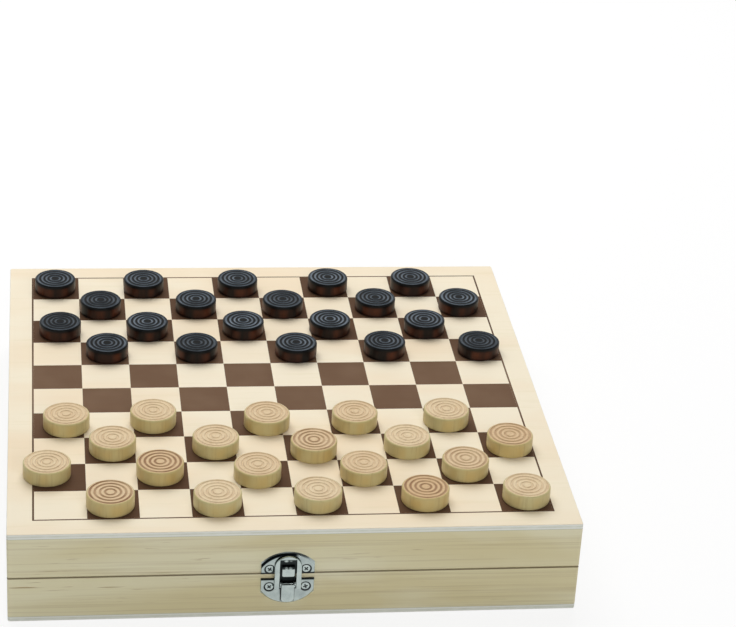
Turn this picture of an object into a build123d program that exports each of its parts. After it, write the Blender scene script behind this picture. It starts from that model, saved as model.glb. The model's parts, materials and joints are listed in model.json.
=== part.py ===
from build123d import *
import math
import os

os.makedirs("parts", exist_ok=True)

# Games compendium box: a shallow pine case of two equal trays, hinged at the back and held
# shut by a toggle latch at the front. The lid's face is a 10 x 10 draughts board and the
# base's face, underneath, is an 8 x 8 chess board. Forty men stand on the draughts board
# and the thirty-two chessmen lie in the base tray.
# Frame: origin at the middle of the underside, +X to the right, -Y to the front, +Z up.

# ---- driving dimensions, millimetres ----
box_side = 298.0            # outside of the square case
half_height = 26.5          # one tray, rails and panel
panel_thickness = 3.0
rail_thickness = 9.0
corner_radius = 1.2         # upright corners of the case
lid_seam_round = 1.0        # lower outer edge of the lid's rails
base_seam_round = 0.4       # upper outer edge of the base's rails
face_round = 0.6            # outer edge of each panel

draughts_count = 10         # squares along one side
draughts_border = 14.0      # plain margin round the draughts field
chess_count = 8
chess_border = 19.0
print_depth = 0.15          # printed colour, flush with the panel
print_line = 1.0            # width of the line round each field
print_gap = 0.02            # bare wood between two printed patches

light_man_radius = 12.6
light_man_height = 8.4
dark_man_radius = 12.0
dark_man_height = 8.0
man_edge_round = 0.9
groove_count = 4
groove_inner_radius = 2.8   # innermost groove
groove_margin = 0.9         # rounded edge to the middle of the outermost groove
groove_width = 1.25
groove_depth = 0.35
men_rows = 4                # rows of men on each side

king_height = 67.0
king_foot = 10.9            # foot radius, as for every chessman
queen_height = 61.5
queen_foot = 10.6
bishop_height = 54.0
bishop_foot = 9.3
knight_height = 45.0
knight_foot = 9.0
knight_thickness = 10.0
rook_height = 41.0
rook_foot = 8.8
pawn_height = 34.0
pawn_foot = 8.5
plinth_height = 3.0         # straight rim of every foot
stow_gap = 2.5              # tray wall to the feet, and one row to the next
seat_gap = 0.3              # under a chessman that lies in the tray
stow_skew = 3.0             # degrees that a stowed chessman may lie askew

latch_width = 27.8
plate_sheet = 1.0           # latch plates
latch_sheet = 0.9           # loop, lever and tongue
latch_x = -5.0              # middle of the front to the middle of the latch
leaf_sheet = 0.8            # hinge leaves
leaf_length = 24.0
leaf_height = 10.0
hinge_inset = 60.0          # box side to the middle of a hinge
barrel_radius = 1.6
hinge_pin_radius = 0.8

screw_shank_radius = 1.1
screw_head_radius = 2.15
screw_length = 7.0
screw_head_depth = 0.8      # countersunk cone
screw_dome = 0.4            # raised crown of the head

fit_clearance = 0.05        # a pin in its knuckle, a screw in its hole
loose_clearance = 0.3       # moving pieces that pass each other

# ---- sizes that follow ----
half_side = box_side / 2
rail_height = half_height - panel_thickness
box_height = 2 * half_height
seam = half_height
draughts_field = box_side - 2 * draughts_border
draughts_square = draughts_field / draughts_count
chess_field = box_side - 2 * chess_border
chess_square = chess_field / chess_count
tray_half = half_side - rail_thickness

latch_face = Plane(origin=(latch_x, -half_side, seam), x_dir=(1, 0, 0), z_dir=(0, -1, 0))
back_face = Plane(origin=(0, half_side, seam), x_dir=(-1, 0, 0), z_dir=(0, 1, 0))
latch_side = Plane(origin=(latch_x, -half_side, seam), x_dir=(0, -1, 0), z_dir=(-1, 0, 0))
hinge_side = Plane(origin=(0, half_side, seam), x_dir=(0, 1, 0), z_dir=(1, 0, 0))


def save(part, name):
    """Label one finished piece and write it."""
    part.label = name
    export_step(part, f"parts/{name}.step")


# ---- screws: places on the faces, then one screw ----
latch_screw_x = 9.45
hook_screw_z = 3.2
base_screw_z = -7.6
leaf_screw_x = 7.5
leaf_screw_z = 6.6

hinge_x = half_side - hinge_inset
hook_screws = [(side * latch_screw_x, hook_screw_z) for side in (-1, 1)]
base_screws = [(side * latch_screw_x, base_screw_z) for side in (-1, 1)]
hinge_screws = [
    (hinge * hinge_x + side * leaf_screw_x, leaf_screw_z) for hinge in (-1, 1) for side in (-1, 1)
]
pilot_radius = screw_shank_radius + fit_clearance
pilot_depth = screw_length + fit_clearance


def wood_screw():
    """A countersunk cross-head screw, head's rim in the XY plane, shank along -Z."""
    cross_length = 1.25 * screw_head_radius
    cross_width = 0.25 * screw_head_radius
    cross_depth = screw_head_depth
    with BuildPart() as screw:
        with BuildSketch(Plane.XZ):
            with BuildLine():
                Line((0, -screw_length), (screw_shank_radius, -screw_length + 2 * screw_shank_radius))
                Line(
                    (screw_shank_radius, -screw_length + 2 * screw_shank_radius),
                    (screw_shank_radius, -screw_head_depth),
                )
                Line((screw_shank_radius, -screw_head_depth), (screw_head_radius, 0))
                SagittaArc((screw_head_radius, 0), (0, screw_dome), 0.12 * screw_head_radius)
                Line((0, screw_dome), (0, -screw_length))
            make_face()
        revolve(axis=Axis.Z)
        with BuildSketch(Plane.XY.offset(screw_dome)):
            Rectangle(cross_length, cross_width)
            Rectangle(cross_width, cross_length)
        extrude(amount=-cross_depth, mode=Mode.SUBTRACT)
    return screw.part


def screw_set(face, lift, places):
    """The same screw at several places on one outside face, its head's rim at lift."""
    one_screw = wood_screw()
    seats = [face.offset(lift).location * Location((x, z, 0)) for x, z in places]
    with BuildPart() as screws:
        with Locations(*seats):
            add(one_screw)
    return screws.part


# ---- the two trays ----
def mitred_rail(turn, bottom, seam_edge, seam_round, pilots):
    """One side of a tray; turn 0 is the front rail and the others follow anticlockwise."""
    x_dir = Vector(1, 0, 0).rotate(Axis.Z, turn)
    level = Plane(origin=(0, 0, bottom), x_dir=x_dir, z_dir=(0, 0, 1))
    outward = Vector(0, -1, 0).rotate(Axis.Z, turn)
    face = Plane(origin=outward * half_side + Vector(0, 0, seam), x_dir=x_dir, z_dir=outward)
    with BuildPart() as rail:
        with BuildSketch(level):
            RectangleRounded(box_side, box_side, corner_radius)
        extrude(amount=rail_height)
        fillet(rail.faces().sort_by(Axis.Z)[seam_edge].edges(), seam_round)
        with BuildSketch(level):
            with BuildLine():
                Polyline(
                    (-half_side, -half_side),
                    (half_side, -half_side),
                    (tray_half, -tray_half),
                    (-tray_half, -tray_half),
                    close=True,
                )
            make_face()
        extrude(amount=rail_height, mode=Mode.INTERSECT)
        if pilots:
            with BuildSketch(face):
                with Locations(*pilots):
                    Circle(pilot_radius)
            extrude(amount=-pilot_depth, mode=Mode.SUBTRACT)
    return rail.part


rail_turns = {"front": 0, "right": 90, "back": 180, "left": 270}
base_pilots = {
    "front": [(latch_x + x, z) for x, z in base_screws],
    "back": [(x, -z) for x, z in hinge_screws],
}
lid_pilots = {"front": [(latch_x + x, z) for x, z in hook_screws], "back": hinge_screws}
for side, turn in rail_turns.items():
    base_rail = mitred_rail(turn, panel_thickness, -1, base_seam_round, base_pilots.get(side))
    save(base_rail, f"base_rail_{side}")
    lid_rail = mitred_rail(turn, seam, 0, lid_seam_round, lid_pilots.get(side))
    save(lid_rail, f"lid_rail_{side}")


def dark_squares(count, square, first_dark):
    """Centres of the dark squares; first_dark is 0 when the front left square is dark."""
    centre = (count - 1) / 2
    return [
        ((column - centre) * square, (row - centre) * square)
        for row in range(count)
        for column in range(count)
        if (column + row) % 2 == first_dark
    ]


def board_print(face, count, square, first_dark):
    """Printed squares and the line round the field, sunk flush into the panel's face."""
    field = count * square
    with BuildPart() as pattern:
        with BuildSketch(face):
            Rectangle(field + 2 * print_line, field + 2 * print_line)
            Rectangle(field + print_gap, field + print_gap, mode=Mode.SUBTRACT)
            with Locations(*dark_squares(count, square, first_dark)):
                Rectangle(square - print_gap, square - print_gap)
        extrude(amount=-print_depth)
    return pattern.part


def panel(bottom, outer_face, printed):
    """A plywood board over the whole footprint, its print let in."""
    with BuildPart() as board:
        with BuildSketch(Plane.XY.offset(bottom)):
            RectangleRounded(box_side, box_side, corner_radius)
        extrude(amount=panel_thickness)
        fillet(board.faces().sort_by(Axis.Z)[outer_face].edges(), face_round)
        add(printed, mode=Mode.SUBTRACT)
    return board.part


draughts_face = Plane.XY.offset(box_height)
chess_face = Plane(origin=(0, 0, 0), x_dir=(0, -1, 0), z_dir=(0, 0, -1))

draughts_print = board_print(draughts_face, draughts_count, draughts_square, 1)
chess_print = board_print(chess_face, chess_count, chess_square, 0)
save(panel(box_height - panel_thickness, -1, draughts_print), "lid_panel")
save(panel(0, 0, chess_print), "base_panel")
save(draughts_print, "draughts_print")
save(chess_print, "chess_print")

# ---- butt hinges on the back ----
hinge_axis_out = barrel_radius + loose_clearance    # back face to the hinge's axis
knuckle_gap = 0.15                                  # between neighbouring knuckles
centre_knuckle = leaf_length / 3
pin_overhang = 0.5
head_clearance = screw_head_radius + fit_clearance


def hinge_leaf(middle, upward, knuckles, notches):
    """A flat leaf with its knuckles; upward is 1 for the lid's leaf and -1 for the base's."""
    relief = barrel_radius + loose_clearance
    with BuildPart() as leaf:
        with BuildSketch(back_face):
            with Locations((-middle, upward * leaf_height / 2)):
                Rectangle(leaf_length, leaf_height)
        extrude(amount=leaf_sheet)
        fillet(
            leaf.edges().filter_by(Axis.Y).group_by(Axis.Z)[-1 if upward > 0 else 0],
            2 * leaf_sheet,
        )
        with BuildSketch(back_face):
            for centre, length in notches:
                with Locations((-middle + centre, 0)):
                    Rectangle(length + 2 * knuckle_gap, 2 * relief)
        extrude(amount=leaf_sheet, mode=Mode.SUBTRACT)
        for centre, length in knuckles:
            start = hinge_side.offset(middle + centre - length / 2)
            with BuildSketch(start):
                with Locations((hinge_axis_out, 0)):
                    Circle(barrel_radius)
                with BuildLine():
                    Polyline(
                        (0, 0),
                        (hinge_axis_out, 0),
                        (hinge_axis_out, upward * barrel_radius),
                        (0, upward * barrel_radius),
                        close=True,
                    )
                make_face()
            extrude(amount=length)
        with BuildSketch(hinge_side.offset(middle - leaf_length)):
            with Locations((hinge_axis_out, 0)):
                Circle(hinge_pin_radius + fit_clearance)
        extrude(amount=2 * leaf_length, mode=Mode.SUBTRACT)
        with Locations(
            *[
                back_face.offset(leaf_sheet).location
                * Location((-middle + side * leaf_screw_x, upward * leaf_screw_z, 0))
                for side in (-1, 1)
            ]
        ):
            CounterSinkHole(pilot_radius, head_clearance, depth=leaf_sheet)
    return leaf.part


def hinge_pin(middle):
    """A plain pin with two low domed ends."""
    with BuildPart() as pin:
        with BuildSketch(hinge_side.offset(middle - leaf_length / 2 - pin_overhang)):
            with Locations((hinge_axis_out, 0)):
                Circle(hinge_pin_radius)
        extrude(amount=leaf_length + 2 * pin_overhang)
        fillet(pin.edges().filter_by(GeomType.CIRCLE), hinge_pin_radius / 3)
    return pin.part


outer_knuckle = (leaf_length - centre_knuckle) / 2 - knuckle_gap
outer_centre = (leaf_length - outer_knuckle) / 2
inner_knuckles = [(0, centre_knuckle)]
outer_knuckles = [(-outer_centre, outer_knuckle), (outer_centre, outer_knuckle)]
for side, middle in {"left": -hinge_x, "right": hinge_x}.items():
    save(hinge_leaf(middle, -1, outer_knuckles, inner_knuckles), f"hinge_{side}_base_leaf")
    save(hinge_leaf(middle, 1, inner_knuckles, outer_knuckles), f"hinge_{side}_lid_leaf")
    save(hinge_pin(middle), f"hinge_{side}_pin")
save(screw_set(back_face, leaf_sheet, [(x, -z) for x, z in hinge_screws]), "hinge_screws_base")
save(screw_set(back_face, leaf_sheet, hinge_screws), "hinge_screws_lid")

# ---- toggle latch on the front ----
# On the latch's planes x runs along the front, z is the height over the seam and
# "out" is the distance from the front face.
plate_round = 0.7
plate_arch_inset = 1.0      # shoulder, along the front
plate_arch_rise = 0.35      # half of the shoulder's rise towards the arch
hook_plate_side = 7.4       # seam to the shoulder
hook_plate_top = 13.1       # seam to the top of the arch
base_plate_start = -3.3     # seam down to the plate's straight edge
base_plate_side = -12.0
base_plate_tip = -18.4
seam_margin = 0.2

bill_width = 6.7            # tongue that carries the loop
bill_shelf = 5.8            # seam to its top
bill_tip = 0.1
bill_reach = 4.0
bill_round = 1.2

loop_width = 14.1
loop_window = 8.5
loop_inner = 2.2            # front face to the back of its bars
loop_shoulder = 5.4
loop_top = 11.8
loop_crossbar = 10.5        # where the folded tab leaves the front of the loop
tab_out = 1.3               # back of the tab's lower edge
tab_rest = 0.4              # tab's lower edge over the tongue
tab_bottom = bill_shelf + tab_rest

lever_axis = (2.45, -5.1)   # out, z
lever_width = 7.0
lever_out = 3.2
lever_top = -4.9
lever_bend = -12.6
lever_tip = -16.7
lever_tip_drop = 0.7
lever_tip_round = 2.2
flange_sheet = 0.7
throw_radius = 2.0          # lever's axis to the loop's axis
over_centre = 12.0          # degrees that the loop's axis lies past the line of pull
loop_axis = (
    lever_axis[0] - throw_radius * math.sin(math.radians(over_centre)),
    lever_axis[1] - throw_radius * math.cos(math.radians(over_centre)),
)
latch_pin_radius = 0.5
ear_radius = 1.1
ear_sheet = 0.55
ear_gap = 0.1
eye_radius = 0.9


def latch_plate(straight, shoulder, tip, screws):
    """A plate with a rounded rim and two countersunk holes, arched away from its straight edge."""
    half_width = latch_width / 2
    arch_start = half_width - plate_arch_inset
    rise = math.copysign(plate_arch_rise, shoulder)
    with BuildPart() as plate:
        with BuildSketch(latch_face):
            with BuildLine():
                Line((-half_width, straight), (half_width, straight))
                Line((half_width, straight), (half_width, shoulder - rise))
                Line((half_width, shoulder - rise), (arch_start, shoulder + rise))
                ThreePointArc((arch_start, shoulder + rise), (0, tip), (-arch_start, shoulder + rise))
                Line((-arch_start, shoulder + rise), (-half_width, shoulder - rise))
                Line((-half_width, shoulder - rise), (-half_width, straight))
            make_face()
        extrude(amount=plate_sheet)
        fillet(plate.faces().sort_by(Axis.Y)[0].edges(), plate_round)
        level = latch_face.offset(plate_sheet).location
        with Locations(*[level * Location((x, z, 0)) for x, z in screws]):
            CounterSinkHole(pilot_radius, head_clearance, depth=plate_sheet)
    return plate.part


with BuildPart() as latch_hook_plate:
    add(latch_plate(seam_margin, hook_plate_side, hook_plate_top, hook_screws))
    with BuildSketch(latch_side) as bill_profile:
        with BuildLine():
            Polyline(
                (plate_sheet / 2, bill_shelf),
                (bill_reach, bill_shelf),
                (bill_reach, bill_tip),
                (bill_reach - latch_sheet, bill_tip),
                (bill_reach - latch_sheet, bill_shelf - latch_sheet),
                (plate_sheet / 2, bill_shelf - latch_sheet),
                close=True,
            )
        make_face()
        fillet(bill_profile.vertices().sort_by_distance((bill_reach, bill_shelf))[0], bill_round)
    extrude(amount=bill_width / 2, both=True)
    fillet(latch_hook_plate.edges().filter_by(Axis.Y).group_by(Axis.Y)[0], bill_round)
save(latch_hook_plate.part, "latch_hook_plate")

ear_out = lever_width / 2 + ear_gap / 2
with BuildPart() as latch_base_plate:
    add(latch_plate(base_plate_start, base_plate_side, base_plate_tip, base_screws))
    for side in (-1, 1):
        ear_start = ear_out if side > 0 else -ear_out - ear_sheet
        with BuildSketch(latch_side.offset(-ear_start - ear_sheet)):
            with Locations(lever_axis):
                Circle(ear_radius)
            with BuildLine():
                Polyline(
                    (plate_sheet / 2, lever_axis[1] - ear_radius),
                    (lever_axis[0], lever_axis[1] - ear_radius),
                    (lever_axis[0], lever_axis[1] + ear_radius),
                    (plate_sheet / 2, lever_axis[1] + ear_radius),
                    close=True,
                )
            make_face()
            with Locations(lever_axis):
                Circle(latch_pin_radius + fit_clearance, mode=Mode.SUBTRACT)
        extrude(amount=ear_sheet)
save(latch_base_plate.part, "latch_base_plate")

flange_end = lever_width / 2
with BuildPart() as latch_lever:
    with BuildSketch(latch_side):
        with BuildLine():
            Polyline(
                (lever_out, lever_top),
                (lever_out + latch_sheet, lever_top),
                (lever_out + latch_sheet, lever_bend),
                (lever_out + latch_sheet - lever_tip_drop, lever_tip),
                (lever_out - lever_tip_drop, lever_tip),
                (lever_out, lever_bend),
                close=True,
            )
        make_face()
    extrude(amount=lever_width / 2, both=True)
    fillet(latch_lever.edges().group_by(Axis.Z)[0].filter_by(Axis.X, reverse=True), lever_tip_round)
    for start in (-flange_end, flange_end - flange_sheet):
        with BuildSketch(latch_side.offset(-start - flange_sheet)):
            with Locations(lever_axis):
                Circle(ear_radius)
            with Locations(loop_axis):
                Circle(eye_radius)
            with Locations((lever_out + latch_sheet / 2, (lever_top + lever_bend) / 2)):
                Rectangle(latch_sheet / 2, lever_top - lever_bend - latch_sheet)
            make_hull()
            with Locations(lever_axis):
                Circle(latch_pin_radius + fit_clearance, mode=Mode.SUBTRACT)
            with Locations(loop_axis):
                Circle(latch_pin_radius + fit_clearance, mode=Mode.SUBTRACT)
        extrude(amount=flange_sheet)
save(latch_lever.part, "latch_lever")

loop_half = loop_width / 2
window_half = loop_window / 2
loop_end = loop_axis[1] - eye_radius
with BuildPart() as latch_loop:
    with BuildSketch(latch_face.offset(loop_inner)):
        with BuildLine():
            Line((-loop_half, loop_end), (-loop_half, loop_shoulder))
            ThreePointArc((-loop_half, loop_shoulder), (0, loop_top), (loop_half, loop_shoulder))
            Line((loop_half, loop_shoulder), (loop_half, loop_end))
            Line((loop_half, loop_end), (window_half, loop_end))
            Line((window_half, loop_end), (window_half, loop_crossbar - latch_sheet))
            Line((window_half, loop_crossbar - latch_sheet), (-window_half, loop_crossbar - latch_sheet))
            Line((-window_half, loop_crossbar - latch_sheet), (-window_half, loop_end))
            Line((-window_half, loop_end), (-loop_half, loop_end))
        make_face()
    extrude(amount=latch_sheet)
    with BuildSketch(latch_side):
        with BuildLine():
            Polyline(
                (loop_inner + latch_sheet, loop_crossbar),
                (loop_inner, loop_crossbar),
                (tab_out, tab_bottom),
                (tab_out + latch_sheet, tab_bottom),
                close=True,
            )
        make_face()
    extrude(amount=window_half, both=True)
    for side in (-1, 1):
        start = window_half if side > 0 else -window_half - flange_sheet
        with BuildSketch(latch_side.offset(-start - flange_sheet)):
            with Locations(loop_axis):
                Circle(eye_radius)
            with BuildLine():
                Polyline(
                    (loop_axis[0], loop_end),
                    (loop_inner + latch_sheet, loop_end),
                    (loop_inner + latch_sheet, loop_axis[1] + 2 * eye_radius),
                    (loop_inner, loop_axis[1] + 2 * eye_radius),
                    (loop_axis[0] - eye_radius, loop_axis[1]),
                    close=True,
                )
            make_face()
        extrude(amount=flange_sheet)
    with BuildSketch(latch_side):
        with Locations(loop_axis):
            Circle(latch_pin_radius + fit_clearance)
    extrude(amount=window_half + flange_sheet, both=True, mode=Mode.SUBTRACT)
save(latch_loop.part, "latch_loop")


def latch_pin(axis, half_length):
    """A plain rivet across the latch."""
    with BuildPart() as pin:
        with BuildSketch(latch_side):
            with Locations(axis):
                Circle(latch_pin_radius)
        extrude(amount=half_length, both=True)
    return pin.part


save(latch_pin(lever_axis, ear_out + ear_sheet), "latch_lever_pin")
save(latch_pin(loop_axis, window_half + flange_sheet), "latch_loop_pin")
save(screw_set(latch_face, plate_sheet, hook_screws), "latch_screws_lid")
save(screw_set(latch_face, plate_sheet, base_screws), "latch_screws_base")

# ---- draughtsmen ----
# How far each man was set down from the middle of its square, to the right and to the
# back, in shares of a square, from the front row of its colour on.
light_nudges = [
    [(-0.05, -0.05), (0, -0.1), (-0.05, -0.05), (0.05, -0.05), (0.05, -0.05)],
    [(-0.25, 0.1), (-0.05, 0.05), (-0.15, -0.1), (-0.05, -0.1), (0, 0)],
    [(0.05, 0), (0.1, 0), (0.05, -0.2), (-0.05, -0.1), (0.05, -0.1)],
    [(0.15, -0.05), (-0.1, 0.05), (0.2, -0.1), (0, -0.1), (-0.1, -0.05)],
]
dark_nudges = [
    [(0.05, -0.05), (-0.05, -0.07), (0.08, -0.1), (0, -0.06), (0.05, -0.1)],
    [(0.07, -0.07), (-0.06, -0.1), (0.02, -0.08), (-0.08, -0.05), (0, -0.09)],
    [(-0.04, -0.08), (0.05, -0.06), (-0.03, -0.1), (0.04, -0.05), (-0.08, -0.07)],
    [(-0.02, -0.05), (-0.06, -0.08), (0.04, -0.09), (0.08, -0.05), (-0.04, -0.06)],
]


def men_places(first_row, nudges):
    """Centres of the men, on the dark squares of their rows."""
    centre = (draughts_count - 1) / 2
    places = []
    for row, row_nudges in enumerate(nudges, start=first_row):
        columns = range((row + 1) % 2, draughts_count, 2)
        for column, (right, back) in zip(columns, row_nudges):
            x = (column - centre + right) * draughts_square
            y = (row - centre + back) * draughts_square
            places.append((x, y))
    return places


def draughtsman(radius, height):
    """A turned disc with rounded edges and rings cut into its top."""
    groove_reach = radius - man_edge_round - groove_margin - groove_inner_radius
    groove_pitch = groove_reach / (groove_count - 1)
    with BuildPart() as man:
        with BuildSketch(Plane.XY):
            Circle(radius)
        extrude(amount=height)
        fillet(man.edges().filter_by(GeomType.CIRCLE).group_by(Axis.Z)[-1], man_edge_round)
        fillet(man.edges().filter_by(GeomType.CIRCLE).group_by(Axis.Z)[0], man_edge_round)
        with BuildSketch(Plane.XZ):
            for ring in range(groove_count):
                middle = groove_inner_radius + ring * groove_pitch
                with BuildLine():
                    Polyline(
                        (middle - groove_width / 2, height),
                        (middle, height - groove_depth),
                        (middle + groove_width / 2, height),
                        close=True,
                    )
                make_face()
        revolve(axis=Axis.Z, mode=Mode.SUBTRACT)
    return man.part


for colour, radius, height, first_row, nudges in (
    ("light", light_man_radius, light_man_height, 0, light_nudges),
    ("dark", dark_man_radius, dark_man_height, draughts_count - men_rows, dark_nudges),
):
    one_man = draughtsman(radius, height)
    with BuildPart() as men:
        with Locations(*[(x, y, box_height) for x, y in men_places(first_row, nudges)]):
            add(one_man)
    save(men.part, f"{colour}_men")

# ---- chessmen ----
# Each outline runs from the rim of the plinth to the top, in shares of the foot's radius
# and of the height: a pair ends a straight line, two pairs are the middle and end of an arc.
bell = [(0.92, 0.07), ((0.98, 0.1), (0.84, 0.14)), ((0.66, 0.2), (0.6, 0.28))]
twin_collar = [
    (0.54, 0.375),
    (0.7, 0.39),
    ((0.79, 0.415), (0.7, 0.437)),
    (0.66, 0.443),
    (0.7, 0.45),
    ((0.79, 0.472), (0.7, 0.492)),
    (0.58, 0.5),
    ((0.63, 0.515), (0.56, 0.53)),
]
king_outline = bell + twin_collar + [
    ((0.53, 0.6), (0.68, 0.7)),
    (0.8, 0.745),
    ((0.85, 0.765), (0.78, 0.782)),
    (0.42, 0.828),
    ((0.68, 0.9), (0.5, 0.972)),
    ((0.3, 0.994), (0.12, 1)),
    (0, 1),
]
queen_outline = bell + twin_collar + [
    ((0.52, 0.61), (0.66, 0.73)),
    (0.77, 0.79),
    ((0.82, 0.812), (0.74, 0.832)),
    (0.26, 0.865),
    ((0.42, 0.93), (0.24, 0.985)),
    ((0.17, 0.996), (0.09, 1)),
    (0, 1),
]
bishop_outline = bell + [
    ((0.45, 0.33), (0.42, 0.375)),
    (0.6, 0.4),
    ((0.76, 0.43), (0.68, 0.455)),
    ((0.75, 0.48), (0.68, 0.5)),
    ((0.76, 0.62), (0.42, 0.85)),
    ((0.5, 0.93), (0.28, 0.985)),
    ((0.19, 0.996), (0.09, 1)),
    (0, 1),
]
rook_outline = bell + [
    ((0.5, 0.42), (0.5, 0.6)),
    (0.74, 0.7),
    (0.78, 0.725),
    (0.73, 0.745),
    (0.78, 0.77),
    (0.8, 0.985),
    (0.78, 1),
    (0.64, 1),
    ((0.56, 0.94), (0.36, 0.91)),
    (0, 0.905),
]
pawn_outline = [
    (0.93, 0.11),
    ((0.97, 0.17), (0.8, 0.25)),
    ((0.52, 0.36), (0.48, 0.45)),
    (0.56, 0.465),
    ((0.7, 0.52), (0.6, 0.575)),
    (0.54, 0.6),
    ((0.72, 0.78), (0.42, 0.965)),
    ((0.26, 0.993), (0.1, 1)),
    (0, 1),
]
knight_base_outline = [(0.92, 0.1), ((0.98, 0.15), (0.84, 0.21)), ((0.7, 0.27), (0.66, 0.33)), (0, 0.33)]
# The knight's head seen from its left: forwards in shares of the foot, up in shares of the height.
knight_head = [
    (-0.78, 0.26),
    (-0.95, 0.38),
    (-0.94, 1),
    (-0.52, 0.99),
    (-0.17, 0.92),
    (0.94, 0.945),
    (0.96, 0.67),
    (0.29, 0.62),
    (0.93, 0.43),
    (0.72, 0.26),
]
knight_head_round = 1.0
king_slot = 1.2             # width and depth of the saw cuts in the king's knob


def turned(height, foot, outline):
    """A chessman, or a knight's base, turned to its outline and standing on z = 0."""
    plinth_round = plinth_height / 6
    with BuildPart() as piece:
        with BuildSketch(Plane.XZ):
            with BuildLine():
                Polyline(
                    (0, 0), (foot - plinth_round, 0), (foot, plinth_round), (foot, plinth_height)
                )
                last = (foot, plinth_height)
                for step in outline:
                    if isinstance(step[0], tuple):
                        middle, end = [(share * foot, rise * height) for share, rise in step]
                        ThreePointArc(last, middle, end)
                    else:
                        end = (step[0] * foot, step[1] * height)
                        Line(last, end)
                    last = end
                Line(last, (0, 0))
            make_face()
        revolve(axis=Axis.Z)
    return piece.part


def widest_places(height, foot, outline):
    """Radius and height of each point of an outline above the plinth."""
    points = []
    for step in outline:
        points += step if isinstance(step[0], tuple) else [step]
    return [(share * foot, rise * height) for share, rise in points]


def king():
    """The king, with two saw cuts across his knob for a cross."""
    with BuildPart() as piece:
        add(turned(king_height, king_foot, king_outline))
        with BuildSketch(Plane.XY.offset(king_height - king_slot)):
            Rectangle(2 * king_foot, king_slot)
            Rectangle(king_slot, 2 * king_foot)
        extrude(amount=king_slot, mode=Mode.SUBTRACT)
    return piece.part


def knight():
    """The knight: a flat carved head on a turned base, looking along +X."""
    with BuildPart() as piece:
        with BuildSketch(Plane.XZ):
            with BuildLine():
                Polyline(*[(x * knight_foot, z * knight_height) for x, z in knight_head], close=True)
            make_face()
        extrude(amount=knight_thickness / 2, both=True)
        chamfer(piece.faces().filter_by(Axis.Y).edges(), knight_head_round)
        add(turned(knight_height, knight_foot, knight_base_outline))
    return piece.part


def laid(piece, places, foot, x, heading, row_start, skew):
    """Lay a piece on the tray's floor, resting on its plinth and its widest part above it.

    heading is 1 when its foot is towards the front and -1 towards the back.
    """
    tilt = min(math.atan2(foot - radius, rise - plinth_height) for radius, rise in places)
    lift = panel_thickness + seat_gap + foot * math.cos(tilt) + plinth_height * math.sin(tilt)
    y = heading * (row_start + foot * math.sin(tilt))
    turn = skew if heading > 0 else 180 + skew
    seat = Location((x, y, lift)) * Location((0, 0, 0), (0, 0, turn))
    return piece.moved(seat * Location((0, 0, 0), (-90 - math.degrees(tilt), 0, 0)))


chess_sizes = {
    "king": (king_height, king_foot, king_outline),
    "queen": (queen_height, queen_foot, queen_outline),
    "bishop": (bishop_height, bishop_foot, bishop_outline),
    "knight": (knight_height, knight_foot, knight_base_outline),
    "rook": (rook_height, rook_foot, rook_outline),
    "pawn": (pawn_height, pawn_foot, pawn_outline),
}
chess_pieces = {kind: turned(*sizes) for kind, sizes in chess_sizes.items()}
chess_pieces["king"] = king()
chess_pieces["knight"] = knight()
back_row = ["rook", "knight", "bishop", "queen", "king", "bishop", "knight", "rook"]
lane = 2 * tray_half / chess_count
tallest = max(king_height, queen_height, bishop_height, knight_height, rook_height)
for colour, heading in (("light", 1), ("dark", -1)):
    stowed = {kind: [] for kind in chess_sizes}
    for number in range(chess_count):
        x = (number - (chess_count - 1) / 2) * lane
        for kind, row_start in (
            (back_row[number], -tray_half + stow_gap),
            ("pawn", -tray_half + 2 * stow_gap + tallest),
        ):
            height, foot, outline = chess_sizes[kind]
            places = widest_places(height, foot, outline)
            if kind == "knight":
                places.append((knight_thickness / 2, height))
            skew = stow_skew * math.sin(2.4 * number + len(kind) + heading)
            stowed[kind].append(laid(chess_pieces[kind], places, foot, x, heading, row_start, skew))
    for kind, pieces in stowed.items():
        with BuildPart() as group:
            for piece in pieces:
                add(piece)
        save(group.part, f"{colour}_{kind}" if len(pieces) == 1 else f"{colour}_{kind}s")
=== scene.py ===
import json
import math
import random

import bmesh
import bpy
from mathutils import Matrix, Vector

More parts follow.
